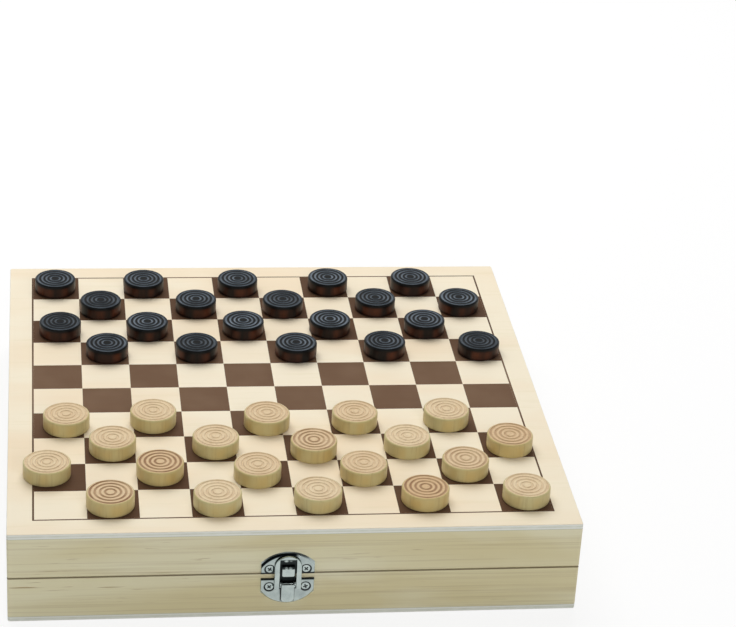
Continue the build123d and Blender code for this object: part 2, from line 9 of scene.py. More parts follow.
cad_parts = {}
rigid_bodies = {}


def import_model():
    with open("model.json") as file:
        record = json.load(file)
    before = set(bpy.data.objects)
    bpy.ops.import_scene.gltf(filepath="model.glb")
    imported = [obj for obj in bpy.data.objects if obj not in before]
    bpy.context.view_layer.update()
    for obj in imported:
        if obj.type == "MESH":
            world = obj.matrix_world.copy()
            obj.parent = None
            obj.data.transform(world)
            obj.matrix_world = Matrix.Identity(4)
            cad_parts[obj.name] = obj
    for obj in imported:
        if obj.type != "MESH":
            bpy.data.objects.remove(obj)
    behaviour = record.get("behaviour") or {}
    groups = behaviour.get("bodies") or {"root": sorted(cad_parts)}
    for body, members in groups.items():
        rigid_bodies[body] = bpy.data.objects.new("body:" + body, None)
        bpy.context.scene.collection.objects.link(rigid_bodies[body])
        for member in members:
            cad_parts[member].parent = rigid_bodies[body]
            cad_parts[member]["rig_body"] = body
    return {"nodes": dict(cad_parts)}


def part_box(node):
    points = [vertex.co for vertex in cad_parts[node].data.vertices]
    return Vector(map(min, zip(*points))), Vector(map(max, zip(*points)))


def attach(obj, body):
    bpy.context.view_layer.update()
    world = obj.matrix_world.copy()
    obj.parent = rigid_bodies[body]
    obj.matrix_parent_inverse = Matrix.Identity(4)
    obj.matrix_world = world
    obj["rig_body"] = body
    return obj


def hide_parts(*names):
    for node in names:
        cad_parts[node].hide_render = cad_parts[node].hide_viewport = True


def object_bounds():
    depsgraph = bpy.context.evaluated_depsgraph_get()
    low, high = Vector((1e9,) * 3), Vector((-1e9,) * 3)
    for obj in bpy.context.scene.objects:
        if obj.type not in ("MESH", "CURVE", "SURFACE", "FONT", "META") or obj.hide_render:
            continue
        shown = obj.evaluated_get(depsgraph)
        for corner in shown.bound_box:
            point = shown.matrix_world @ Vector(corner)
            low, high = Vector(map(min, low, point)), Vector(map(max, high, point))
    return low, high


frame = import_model()
cad_low, cad_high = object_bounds()

MM = 0.001

# ---- sizes read from the frame ----
lid_low, lid_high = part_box("lid_panel")
base_low, base_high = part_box("base_panel")
half_side = lid_high.x
panel_thickness = lid_high.z - lid_low.z
seam = (lid_high.z + base_low.z) / 2
tray_half = -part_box("lid_rail_front")[1].y

# ---- draughtsmen, as turned ----
light_man_radius = 12.6 * MM
light_man_height = 8.4 * MM
dark_man_radius = 12.0 * MM
dark_man_height = 8.0 * MM
man_edge_round = 0.9 * MM
man_seat = 0.02 * MM
groove_count = 4
groove_inner_radius = 2.8 * MM
groove_margin = 0.9 * MM
groove_width = 1.25 * MM
groove_depth = 0.35 * MM
ring_edge = 0.22 * MM
top_slack = 0.2 * MM
rim_slack = 0.02 * MM
blotch_turns = 2, 5, 9      # waves of stain round a man's side
lathe_steps = 72
men_of_a_colour = 20

# ---- draughts field ----
draughts_square = 27.0 * MM
draughts_count = 10
men_reach = 0.8 * draughts_square, 2.2 * draughts_square    # middle of the board to the rows of men


def tint(red, green, blue):
    """A colour as it looks on a screen, 0 to 255, in the shader's linear values."""
    shares = [value / 255 for value in (red, green, blue)]
    return tuple(s / 12.92 if s <= 0.04045 else ((s + 0.055) / 1.055) ** 2.4 for s in shares) + (1,)


# ---- colours ----
seam_shade = 0.7 * MM       # how far the rails are dark on both sides of the seam
pine_pale = tint(236, 231, 198)
pine_warm = tint(222, 211, 168)
pine_light = tint(240, 237, 212)
pine_streak = tint(164, 138, 90)
# Painted shade: the colour of the shade in the gap at the seam.
seam_shade_colour = tint(86, 66, 34)
lime_face = tint(246, 235, 211)
lime_blush = tint(243, 225, 196)
lime_edge = tint(240, 242, 234)
ply_core = tint(224, 227, 214)
seat_line_colour = tint(150, 152, 132)
print_brown = tint(112, 87, 68)
print_worn = tint(124, 100, 80)
# Painted shade: the print's colour where the men stand.
print_shaded_by_men = tint(94, 70, 53)
beech_sides = tint(204, 194, 144), tint(206, 178, 112)
beech_ends = tint(234, 214, 178), tint(216, 184, 142)
beech_line = tint(150, 112, 78)
stain_black = tint(22, 19, 18)
stain_sides = tint(20, 15, 14), tint(82, 42, 25)
stain_ends = tint(9, 11, 13), tint(15, 16, 18)
# Painted highlight: the pale blue-grey of the dark men's rings and rim.
dark_ring_highlight = tint(124, 135, 146)
boxwood = tint(222, 200, 140), tint(206, 172, 104)
boxwood_line = tint(168, 128, 70)
lacquer = tint(34, 24, 18), tint(88, 48, 24)
nickel_bright = tint(186, 197, 193)
nickel_dull = tint(160, 172, 171)
# Painted shade: the colour that shaded recesses and dark reflections are drawn in.
nickel_in_shade = tint(13, 18, 21)


# ---- finishes ----
class Graph:
    """A node tree under construction."""

    def __init__(self, tree):
        self.tree = tree

    def add(self, kind, values=None, **settings):
        """A new node, with a value on each named socket or another node's output linked to it."""
        node = self.tree.nodes.new("ShaderNode" + kind)
        for setting, value in settings.items():
            setattr(node, setting, value)
        for socket, value in (values or {}).items():
            if isinstance(value, bpy.types.NodeSocket):
                self.tree.links.new(value, node.inputs[socket])
            else:
                node.inputs[socket].default_value = value
        return node

    def steps(self, factor, *stops):
        """A ramp of grey levels, each stop a place and a level."""
        ramp = self.add("ValToRGB", {"Fac": factor})
        elements = ramp.color_ramp.elements
        while len(elements) < len(stops):
            elements.new(0.5)
        for element, (position, level) in zip(elements, stops):
            element.position = position
            element.color = (level, level, level, 1)
        return ramp.outputs["Color"]

    def surface(self, output, kind):
        self.tree.links.new(output, self.tree.nodes[kind + " Output"].inputs["Surface"])


class Finish(Graph):
    """A material under construction round one shader."""

    def __init__(self, name, **shader_values):
        self.material = bpy.data.materials.new(name)
        self.material.use_nodes = True
        super().__init__(self.material.node_tree)
        self.shader = self.tree.nodes["Principled BSDF"]
        for socket, value in shader_values.items():
            self.shader.inputs[socket.replace("_", " ")].default_value = value

    def join(self, output, socket):
        self.tree.links.new(output, self.shader.inputs[socket])

    def place(self, scale, turn=0.0):
        """Object coordinates turned about Z and scaled along each axis."""
        where = self.add("TexCoord").outputs["Object"]
        values = {"Vector": where, "Rotation": (0, 0, turn), "Scale": scale}
        return self.add("Mapping", values).outputs["Vector"]

    def along(self, axis, of="Object"):
        """A coordinate, or the same part of the surface's direction for Normal."""
        return self.add("SeparateXYZ", {"Vector": self.add("TexCoord").outputs[of]}).outputs[axis]

    def between(self, value, low, high):
        """0 at the low value, 1 at the high one and even between."""
        return self.add("MapRange", {"Value": value, "From Min": low, "From Max": high}).outputs["Result"]

    def unsigned(self, value):
        return self.add("Math", {0: value}, operation="ABSOLUTE").outputs[0]

    def attribute_place(self, name, scale):
        where = self.add("Attribute", attribute_name=name)
        return self.add("Mapping", {"Vector": where.outputs["Vector"], "Scale": scale}).outputs["Vector"]

    def attribute(self, name):
        return self.add("Attribute", attribute_name=name).outputs["Fac"]

    def noise(self, vector, detail=2.0, roughness=0.5, distortion=0.0):
        values = {"Vector": vector, "Scale": 1.0, "Detail": detail}
        values.update({"Roughness": roughness, "Distortion": distortion})
        return self.add("TexNoise", values).outputs["Fac"]

    def blend(self, factor, first, second, how="MIX"):
        node = self.add("Mix", data_type="RGBA", blend_type=how)
        for socket, value in ((0, factor), (6, first), (7, second)):
            if isinstance(value, bpy.types.NodeSocket):
                self.tree.links.new(value, node.inputs[socket])
            else:
                node.inputs[socket].default_value = value
        return node.outputs[2]

    def product(self, first, second):
        return self.blend(1.0, first, second, "MULTIPLY")

    def bump(self, height, distance, strength=0.5):
        values = {"Height": height, "Distance": distance, "Strength": strength}
        self.join(self.add("Bump", values).outputs["Normal"], "Normal")


def planed_pine(name, turn):
    """Planed pine: grain along X once turned, resin streaks, satin varnish and painted shade along the seam's
    gap.
    """
    wood = Finish(name, Roughness=0.42, Specular_IOR_Level=0.4)
    broad = wood.noise(wood.place((4, 22, 40), turn), 2)
    lines = wood.noise(wood.place((7, 420, 620), turn), 4, 0.65, 0.4)
    streaks = wood.noise(wood.place((46, 700, 900), turn), 2)
    patches = wood.noise(wood.place((14, 60, 60), turn), 1)
    colour = wood.blend(wood.steps(broad, (0.35, 0.0), (0.65, 1.0)), pine_pale, pine_warm)
    clouds = wood.noise(wood.place((11, 30, 30), turn), 2, 0.5, 0.8)
    colour = wood.blend(wood.steps(clouds, (0.48, 0.0), (0.66, 0.42)), colour, pine_light)
    colour = wood.blend(wood.steps(lines, (0.5, 0.0), (0.75, 0.36)), colour, pine_streak)
    streaked = wood.steps(patches, (0.5, 0.0), (0.6, 1.0))
    streak = wood.product(wood.steps(streaks, (0.66, 0.0), (0.74, 0.8)), streaked)
    colour = wood.blend(streak, colour, pine_streak)
    # Painted shade in a band either side of the seam, on upright faces only.
    near_seam = wood.between(wood.along("Z"), seam - seam_shade, seam + seam_shade)
    band = wood.steps(near_seam, (0.0, 0.0), (0.4, 1.0), (0.6, 1.0), (1.0, 0.0))
    upright_face = wood.steps(wood.unsigned(wood.along("Z", "Normal")), (0.85, 1.0), (0.97, 0.0))
    wood.join(wood.blend(wood.product(band, upright_face), colour, seam_shade_colour), "Base Color")
    wood.join(wood.steps(lines, (0.3, 0.36), (0.8, 0.52)), "Roughness")
    wood.bump(lines, 0.15 * MM, 0.35)
    return wood.material


def lime_plywood(name, outer_z, inner_z):
    """Three-ply board: pale figured faces, a darker core between them and a darker line near the face on the
    rails.
    """
    wood = Finish(name, Specular_IOR_Level=0.35)
    broad = wood.noise(wood.place((9, 26, 26)), 3)
    lines = wood.noise(wood.place((18, 300, 300)), 3, 0.6, 0.3)
    face = wood.blend(wood.steps(broad, (0.38, 0.0), (0.66, 1.0)), lime_face, lime_blush)
    face = wood.blend(wood.steps(lines, (0.55, 0.0), (0.8, 0.25)), face, pine_warm)
    depth = wood.between(wood.along("Z"), outer_z, inner_z)
    core_lines = wood.noise(wood.place((160, 160, 60)), 2)
    core = wood.blend(wood.steps(core_lines, (0.4, 0.0), (0.7, 0.6)), ply_core, lime_edge)
    plies = wood.steps(depth, (0.32, 0.0), (0.36, 1.0), (0.62, 1.0), (0.66, 0.0))
    veneer = wood.blend(wood.steps(depth, (0.02, 0.0), (0.12, 1.0), (0.98, 1.0), (1.0, 0.0)), face, lime_edge)
    board = wood.blend(plies, veneer, core)
    seat_line = wood.steps(depth, (0.93, 0.0), (0.96, 1.0), (0.985, 1.0), (0.995, 0.0))
    wood.join(wood.blend(seat_line, board, seat_line_colour), "Base Color")
    wood.join(wood.steps(lines, (0.3, 0.38), (0.8, 0.5)), "Roughness")
    wood.bump(lines, 0.1 * MM, 0.2)
    return wood.material


def screen_print():
    """Matt brown ink, rubbed where the grain stands up, with painted shade darkening the bands of rows where
    the men stand.
    """
    ink = Finish("screen_print", Specular_IOR_Level=0.08)
    grain = ink.noise(ink.place((25, 380, 380)), 3, 0.6)
    cloud = ink.noise(ink.place((40, 40, 40)), 2)
    colour = ink.blend(ink.steps(cloud, (0.4, 0.0), (0.7, 0.6)), print_brown, print_worn)
    colour = ink.blend(ink.steps(grain, (0.62, 0.0), (0.85, 0.35)), colour, print_worn)
    # Painted shade round the men: darker in a band of rows on each side of the middle.
    men_shade_share = ink.between(ink.unsigned(ink.along("Y")), *men_reach)
    ink.join(ink.blend(men_shade_share, colour, print_shaded_by_men), "Base Color")
    ink.join(ink.steps(grain, (0.3, 0.5), (0.8, 0.62)), "Roughness")
    ink.bump(grain, 0.05 * MM, 0.2)
    return ink.material


def turned_beech(name, sides, ends, line, ring, gloss, sheen=0.35):
    """Turned wood: grain along the lathe's axis, its own tone per piece, stain in its grooves (painted
    highlight on dark men).
    """
    wood = Finish(name, Specular_IOR_Level=sheen, Coat_Weight=gloss, Coat_Roughness=0.18)
    (pale, warm), (end_pale, end_warm) = sides, ends
    tone = wood.attribute("tone")
    end_grain = wood.attribute("end_grain")
    grain = wood.noise(wood.attribute_place("wood_place", (700, 700, 45)), 3, 0.6)
    figure = wood.noise(wood.attribute_place("wood_place", (120, 120, 22)), 2)
    colour = wood.blend(tone, pale, warm)
    colour = wood.blend(wood.steps(figure, (0.4, 0.0), (0.7, 0.3)), colour, warm)
    ends = wood.blend(tone, end_pale, end_warm)
    ends = wood.blend(wood.steps(figure, (0.4, 0.0), (0.7, 0.3)), ends, end_warm)
    colour = wood.blend(end_grain, colour, ends)
    colour = wood.blend(wood.steps(grain, (0.52, 0.0), (0.8, 0.35)), colour, line)
    # Stain in the grooves; on the dark men, painted highlight in the grooves and on the rim.
    stain = wood.product(wood.attribute("groove"), wood.steps(figure, (0.35, 0.55), (0.62, 1.0)))
    wood.join(wood.blend(stain, colour, ring), "Base Color")
    wood.join(wood.steps(grain, (0.3, 0.34), (0.8, 0.5)), "Roughness")
    wood.bump(grain, 0.08 * MM, 0.25)
    return wood.material


def nickel_plate():
    """Bright nickel over pressed steel, faintly dulled, with painted shade and painted dark reflections where
    its pieces ask.
    """
    metal = Finish("nickel_plate", Metallic=1.0)
    cloud = metal.noise(metal.place((160, 160, 160)), 3)
    brush = metal.noise(metal.place((300, 300, 4000)), 2)
    # Painted shade and painted dark reflections, as a share that each piece gives.
    shade_share = metal.attribute("painted_shade")
    bright = metal.blend(metal.steps(cloud, (0.4, 0.0), (0.7, 0.8)), nickel_bright, nickel_dull)
    metal.join(metal.blend(shade_share, bright, nickel_in_shade), "Base Color")
    dull = metal.steps(cloud, (0.3, 0.12), (0.75, 0.26))
    metal.join(metal.blend(shade_share, dull, (0.45, 0.45, 0.45, 1)), "Roughness")
    metal.bump(brush, 0.02 * MM, 0.1)
    return metal.material


pine_across = planed_pine("pine_front_and_back", 0.0)
pine_along = planed_pine("pine_sides", math.radians(90))
lid_plywood = lime_plywood("plywood_lid", lid_high.z, lid_low.z)
base_plywood = lime_plywood("plywood_base", base_low.z, base_high.z)
printed = screen_print()
pale_beech = turned_beech("beech_varnished", beech_sides, beech_ends, beech_line, beech_line, 0.1)
dark_beech = turned_beech("beech_stained", stain_sides, stain_ends, stain_black, dark_ring_highlight, 0.08, 0.12)
pale_chess = turned_beech("boxwood_varnished", boxwood, boxwood, boxwood_line, boxwood_line, 0.5)
dark_chess = turned_beech("beech_lacquered", lacquer, lacquer, lacquer[0], lacquer[1], 0.6)
nickel = nickel_plate()


def dress(node, material):
    """Give a frame node its finish."""
    mesh = frame["nodes"][node].data
    mesh.materials.clear()
    mesh.materials.append(material)


for tray in ("lid", "base"):
    dress(f"{tray}_rail_front", pine_across)
    dress(f"{tray}_rail_back", pine_across)
    dress(f"{tray}_rail_left", pine_along)
    dress(f"{tray}_rail_right", pine_along)
dress("lid_panel", lid_plywood)
dress("base_panel", base_plywood)
dress("draughts_print", printed)
dress("chess_print", printed)
for name in frame["nodes"]:
    if name.startswith(("hinge_", "latch_")):
        dress(name, nickel)
    elif name.startswith("light_"):
        dress(name, pale_beech)
    elif name.startswith("dark_"):
        dress(name, dark_beech)


# ---- ways of shaping ----
def show(name, mesh, material, body, slot_name, *nodes):
    """Make a finished mesh a piece of the box that stands for its frame nodes."""
    mesh.materials.clear()
    mesh.materials.append(material)
    piece = bpy.data.objects.new(name, mesh)
    bpy.context.scene.collection.objects.link(piece)
    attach(piece, body)
    if nodes:
        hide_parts(*nodes)


def mesh_of(shape, name):
    """The mesh of a shape that is finished with."""
    mesh = bpy.data.meshes.new(name)
    shape.to_mesh(mesh)
    shape.free()
    return mesh


def smooth_mesh(shape, name, angle=50):
    """The mesh of a shape, smooth but for edges sharper than an angle in degrees."""
    for face in shape.faces:
        face.smooth = True
    mesh = mesh_of(shape, name)
    mesh.set_sharp_from_angle(angle=math.radians(angle))
    return mesh


def wood_marks(shape):
    """What the turned finishes read: tone, stain in grooves (painted highlight on the dark men), end grain
    and place in the wood.
    """
    layers = shape.verts.layers
    marks = [layers.float.new(name) for name in ("tone", "groove", "end_grain")]
    return marks + [layers.float_vector.new("wood_place")]


def add_copy(shape, mesh):
    """Add a mesh to a shape and give its vertices there."""
    first = len(shape.verts)
    shape.from_mesh(mesh)
    shape.verts.ensure_lookup_table()
    return shape.verts[first:]


def slab(shape, outline, way):
    """A flat piece added to a shape: its outline's points, thickened by a step along one way."""
    near = [shape.verts.new(point) for point in outline]
    grown = bmesh.ops.extrude_face_region(shape, geom=[shape.faces.new(near)])["geom"]
    far = [item for item in grown if isinstance(item, bmesh.types.BMVert)]
    bmesh.ops.translate(shape, verts=far, vec=way)
    return near + far


def lathe(outline):
    """Spin an outline of (radius, height) pairs about Z; the ends on the axis are closed."""
    shape = bmesh.new()
    points = [shape.verts.new((radius, 0, height)) for radius, height in outline]
    edges = [shape.edges.new(pair) for pair in zip(points, points[1:])]
    bmesh.ops.spin(
        shape, geom=points + edges, cent=(0, 0, 0), axis=(0, 0, 1), dvec=(0, 0, 0),
        angle=math.tau, steps=lathe_steps, use_merge=True,
    )
    bmesh.ops.remove_doubles(shape, verts=shape.verts, dist=0.002 * MM)
    bmesh.ops.recalc_face_normals(shape, faces=shape.faces)
    return shape


def quarter(centre, radius, start, end, steps):
    """Points of an arc between two angles in degrees, in the outline's plane."""
    angles = [math.radians(start + (end - start) * step / steps) for step in range(steps + 1)]
    return [(centre[0] + radius * math.cos(a), centre[1] + radius * math.sin(a)) for a in angles]


def groove_middles(radius):
    """Radii of the rings cut into a draughtsman's top, outermost first."""
    pitch = (radius - man_edge_round - groove_margin - groove_inner_radius) / (groove_count - 1)
    return [groove_inner_radius + ring * pitch for ring in range(groove_count - 1, -1, -1)]


def man_outline(radius, height):
    """A draughtsman from the middle of its underside to the middle of its top."""
    round_centre = radius - man_edge_round
    outline = [(0, 0)]
    outline += quarter((round_centre, man_edge_round), man_edge_round, -90, 0, 5)
    outline += [(radius, share * height) for share in (0.3, 0.5, 0.7)]
    outline += quarter((round_centre, height - man_edge_round), man_edge_round, 0, 90, 5)
    half, land = groove_width / 2, groove_width / 2 + ring_edge
    for middle in groove_middles(radius):
        for way in (1, -1):
            places = [(land, 0), (half, 0), (half / 2, groove_depth)]
            for reach, sunk in places if way > 0 else reversed(places):
                outline.append((middle + way * reach, height - sunk))
    outline.append((0, height))
    return outline


def solid_places(node, count):
    """Middle of the footprint of each of a node's equal solids, found from its loose shells."""
    shape = bmesh.new()
    shape.from_mesh(frame["nodes"][node].data)
    bmesh.ops.remove_doubles(shape, verts=shape.verts, dist=0.001 * MM)
    waiting = set(shape.verts)
    places = []
    while waiting:
        shell, edge_of_shell = set(), [waiting.pop()]
        while edge_of_shell:
            vert = edge_of_shell.pop()
            shell.add(vert)
            for edge in vert.link_edges:
                other = edge.other_vert(vert)
                if other in waiting:
                    waiting.remove(other)
                    edge_of_shell.append(other)
        xs, ys, zs = zip(*(vert.co for vert in shell))
        places.append(((min(xs) + max(xs)) / 2, (min(ys) + max(ys)) / 2, min(zs)))
    shape.free()
    assert len(places) == count, (node, len(places))

    def row_and_x(place):
        return math.floor(place[1] / draughts_square + draughts_count / 2), place[0]

    return sorted(places, key=row_and_x)


def top_part(radius, reach, sunk):
    """Which part of a man's top a point is on, or None where it isn't on the top."""
    top_reach = radius - man_edge_round
    if sunk >= 2 * groove_depth or reach >= top_reach + top_slack:
        return None
    if sunk > groove_depth / 2:
        return "groove"
    if reach > top_reach - rim_slack:
        return "rim"
    off_edge = min(abs(abs(reach - middle) - groove_width / 2) for middle in groove_middles(radius))
    return "groove's edge" if off_edge < ring_edge / 4 else "flat"


def blotch(place, height, starts):
    """Uneven stain round a man's side, strongest half-way up."""
    round_it = math.atan2(place.y, place.x)
    waves = sum(math.sin(turns * round_it + start) for turns, start in zip(blotch_turns, starts))
    half_way_up = 1 - abs(2 * place.z / height - 1)
    return min(1.0, max(0.0, 0.4 + 0.35 * waves)) * min(1.0, 1.4 * half_way_up)


def set_men(name, node, body, slot_name, material, size, rings, seed):
    """The men of one colour, each turned by its own angle and in its own tone."""
    stained, usual_ring, edge_line, rim_highlight, blotches = rings
    picked = random.Random(seed)
    radius, height = size
    one = mesh_of(lathe(man_outline(radius, height)), name + "_one")
    group = bmesh.new()
    tone, groove, end_grain, wood = wood_marks(group)
    end_depth = man_edge_round + rim_slack / 2 if rim_highlight else 0.0
    for number, place in enumerate(solid_places(node, men_of_a_colour)):
        usual = (usual_ring * (0.6 + 0.8 * picked.random()), 0.5 * picked.random())
        ring_stain_or_highlight, own_tone = stained.get(number, usual)
        edge_stain_or_highlight = edge_line * (0.7 + 0.6 * picked.random())
        if not rim_highlight:
            edge_stain_or_highlight = max(edge_stain_or_highlight, 0.6 * ring_stain_or_highlight)
        # Shares of ring colour: stain on the light men, painted highlight on the dark men.
        stains_or_highlights = {"groove": ring_stain_or_highlight, "groove's edge": edge_stain_or_highlight, "rim": rim_highlight}
        turn = Matrix.Rotation(math.tau * picked.random(), 4, "Z")
        shift = Vector((picked.random(), picked.random(), picked.random()))
        starts = [math.tau * picked.random() for turns in blotch_turns]
        verts = add_copy(group, one)
        for vert in verts:
            sunk = height - vert.co.z
            part = top_part(radius, math.hypot(vert.co.x, vert.co.y), sunk)
            side_tone = own_tone + blotches * (blotch(vert.co, height, starts) - own_tone)
            vert[tone] = own_tone if part else side_tone
            vert[groove] = stains_or_highlights.get(part, 0.0)
            vert[end_grain] = 1.0 if part or sunk < end_depth else 0.0
            vert[wood] = vert.co + shift
        seat = Vector(place) + Vector((0, 0, man_seat))
        bmesh.ops.transform(group, matrix=Matrix.Translation(seat) @ turn, verts=verts)
    bpy.data.meshes.remove(one)
    show(name, smooth_mesh(group, name, 40), material, body, slot_name, node)


light_size = (light_man_radius, light_man_height)
dark_size = (dark_man_radius, dark_man_height)
# The men are numbered from the front row back and from left to right. A few light ones took more stain
# in their rings and are a little darker all over: each has its own ring stain and tone.
stained_men = {0: (0.95, 0.55), 3: (0.85, 1.0), 6: (0.9, 0.8), 9: (0.5, 0.5), 12: (0.75, 0.6), 14: (0.5, 0.8)}
# Rings: the stained men, the usual ring stain, the stain along the rings' edges and on the rim, and
# how blotched the sides are. On the dark men the ring, edge and rim shares are painted highlight.
light_rings = (stained_men, 0.12, 0.34, 0.0, 0.5)
dark_rings = ({}, 0.72, 0.12, 0.6, 1.0)
set_men(
    "light_men_turned", "light_men", "light_draughtsmen", "light_wood", pale_beech, light_size,
    light_rings, 5,
)
set_men(
    "dark_men_turned", "dark_men", "dark_draughtsmen", "dark_wood", dark_beech, dark_size,
    dark_rings, 9,
)


# ---- metal fittings, in millimetres: x along the front, out from it and z up from the seam ----
plate_sheet = 1.3
plate_half = 13.9
plate_arch_inset = 1.0      # shoulder, along the front
plate_arch_rise = 0.35      # half of the shoulder's rise towards the arch
plate_grid = 180, 72        # columns and rows of the plates' faces
plate_crowding = 0.45       # how much closer the rows lie towards the arch
rim_skirt = (0.42, 50.0)    # width and slope in degrees of a rim's steep edge
rim_roll = (1.2, 6.0)       # width of the roll above it and its last slope
edge_width = 0.5
edge_drop = 0.45
fine_round = 0.05           # edges of pins and hinge screws
leaf_round = 0.14           # edges of hinge leaves
screw_head = 2.1
screw_crown = 0.35
screw_stand = 0.1           # a head's rim over the dish that it sits in
skirt_out = 0.05            # front face of the rail to the back of a head
screw_cross = (1.3, 0.4)    # half length and half width of an arm
cross_sink = 0.5
cross_run_out = 2.2         # from the middle to where an arm would reach the surface
cross_floor = 0.45          # depth at the very middle
dish_width = 1.0
dish_drop = 0.45
latch_screw_x = 9.45
hook_screws = [(-latch_screw_x, 3.2), (latch_screw_x, 3.2)]
base_screws = [(-latch_screw_x, -7.6), (latch_screw_x, -7.6)]
base_dips = [(-6.1, -8.9, 0.75, 0.3), (6.1, -8.9, 0.75, 0.3), (0, -4.2, 4.5, 0.45)]     # x, z, reach, depth
dip_slope = 0.5

tongue_half = 3.35
tongue_shelf = 5.8
tongue_reach = 4.0
tongue_round = 1.2
tongue_tip = 0.1

lever_pin = (2.45, -5.1)    # out, z
loop_pin = (2.034, -7.056)
ear_radius = 1.1
eye_radius = 0.9
ear_inner = 3.55
ear_sheet = 0.55
latch_sheet = 0.9
flange_sheet = 0.7
lever_half = 3.5
lever_front = 4.1
lever_top = -4.9
lever_bend = -12.6
lever_tip = -16.0
lever_tip_drop = 0.9
lever_corner = 3.0

window_half = 4.25
window_top = 9.9
loop_half = 7.05
loop_inner = 2.2
loop_end = -7.96
loop_shoulder = 5.4
loop_top = 11.8
latch_x = (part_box("latch_lever")[0].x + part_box("latch_lever")[1].x) / 2


def eased(node, edge_round):
    """A fitting as the frame gives it, with its sharp edges eased as tumbling leaves them."""
    shape = bmesh.new()
    shape.from_mesh(frame["nodes"][node].data)
    bmesh.ops.remove_doubles(shape, verts=shape.verts, dist=0.002 * MM)
    bmesh.ops.dissolve_limit(shape, angle_limit=math.radians(0.5), verts=shape.verts, edges=shape.edges)
    sharp = [edge for edge in shape.edges if edge.is_manifold and edge.calc_face_angle() > math.radians(40)]
    bmesh.ops.bevel(
        shape, geom=sharp, offset=edge_round, offset_type="OFFSET", affect="EDGES",
        segments=2, profile=0.5, material=-1, clamp_overlap=True,
    )
    return smooth_mesh(shape, node + "_eased")


def soft_step(value):
    """0 up to 0, 1 from 1 on, and smooth between."""
    share = min(1.0, max(0.0, value))
    return share * share * (3 - 2 * share)


def rolled(distance, width, drop):
    """How far an elliptical rim has fallen at a distance in from its edge."""
    share = 1 - min(1.0, max(0.0, distance / width))
    return drop * (1 - math.sqrt(1 - share * share))


def rim_fall(distance):
    """A plate's arched rim: a skirt at a steep slope, then a roll that runs out into the flat."""
    skirt_width, skirt_slope = rim_skirt
    roll_width, last_slope = rim_roll
    fall = 0.0
    if distance < skirt_width:
        fall += (skirt_width - max(0.0, distance)) * math.tan(math.radians(skirt_slope))
    inward = min(1.0, max(0.0, (distance - skirt_width) / roll_width))
    first, last = math.tan(math.radians(skirt_slope)), math.tan(math.radians(last_slope))
    return fall + roll_width * ((1 - inward) * last + (first - last) * (1 - inward) ** 2 / 2)


def sheet(shape, front, back, painted_shade):
    """Sheet metal between two grids of points, in rows, with the painted shade that a given function gives
    each point.
    """
    layer = shape.verts.layers.float.get("painted_shade") or shape.verts.layers.float.new("painted_shade")
    grids = []
    for rows in (front, back):
        grid = [[shape.verts.new(point) for point in row] for row in rows]
        for row in grid:
            for vert in row:
                vert[layer] = painted_shade(vert.co)
        for low, high in zip(grid, grid[1:]):
            for corners in zip(low, low[1:], high[1:], high):
                shape.faces.new(corners)
        grids.append(grid)
    rims = []
    for grid in grids:
        sides = [row[-1] for row in grid][1:-1]
        rims.append(grid[0] + sides + grid[-1][::-1] + [row[0] for row in grid][1:-1][::-1])
    near, far = rims
    for place in range(len(near)):
        shape.faces.new((near[place - 1], near[place], far[place], far[place - 1]))


def fitted(shape):
    """Move a part of the latch from its own millimetres to its place on the front."""
    place = Matrix(((MM, 0, 0, latch_x), (0, -MM, 0, -half_side), (0, 0, MM, seam), (0, 0, 0, 1)))
    bmesh.ops.transform(shape, matrix=place, verts=shape.verts)
    bmesh.ops.recalc_face_normals(shape, faces=shape.faces)
    return shape


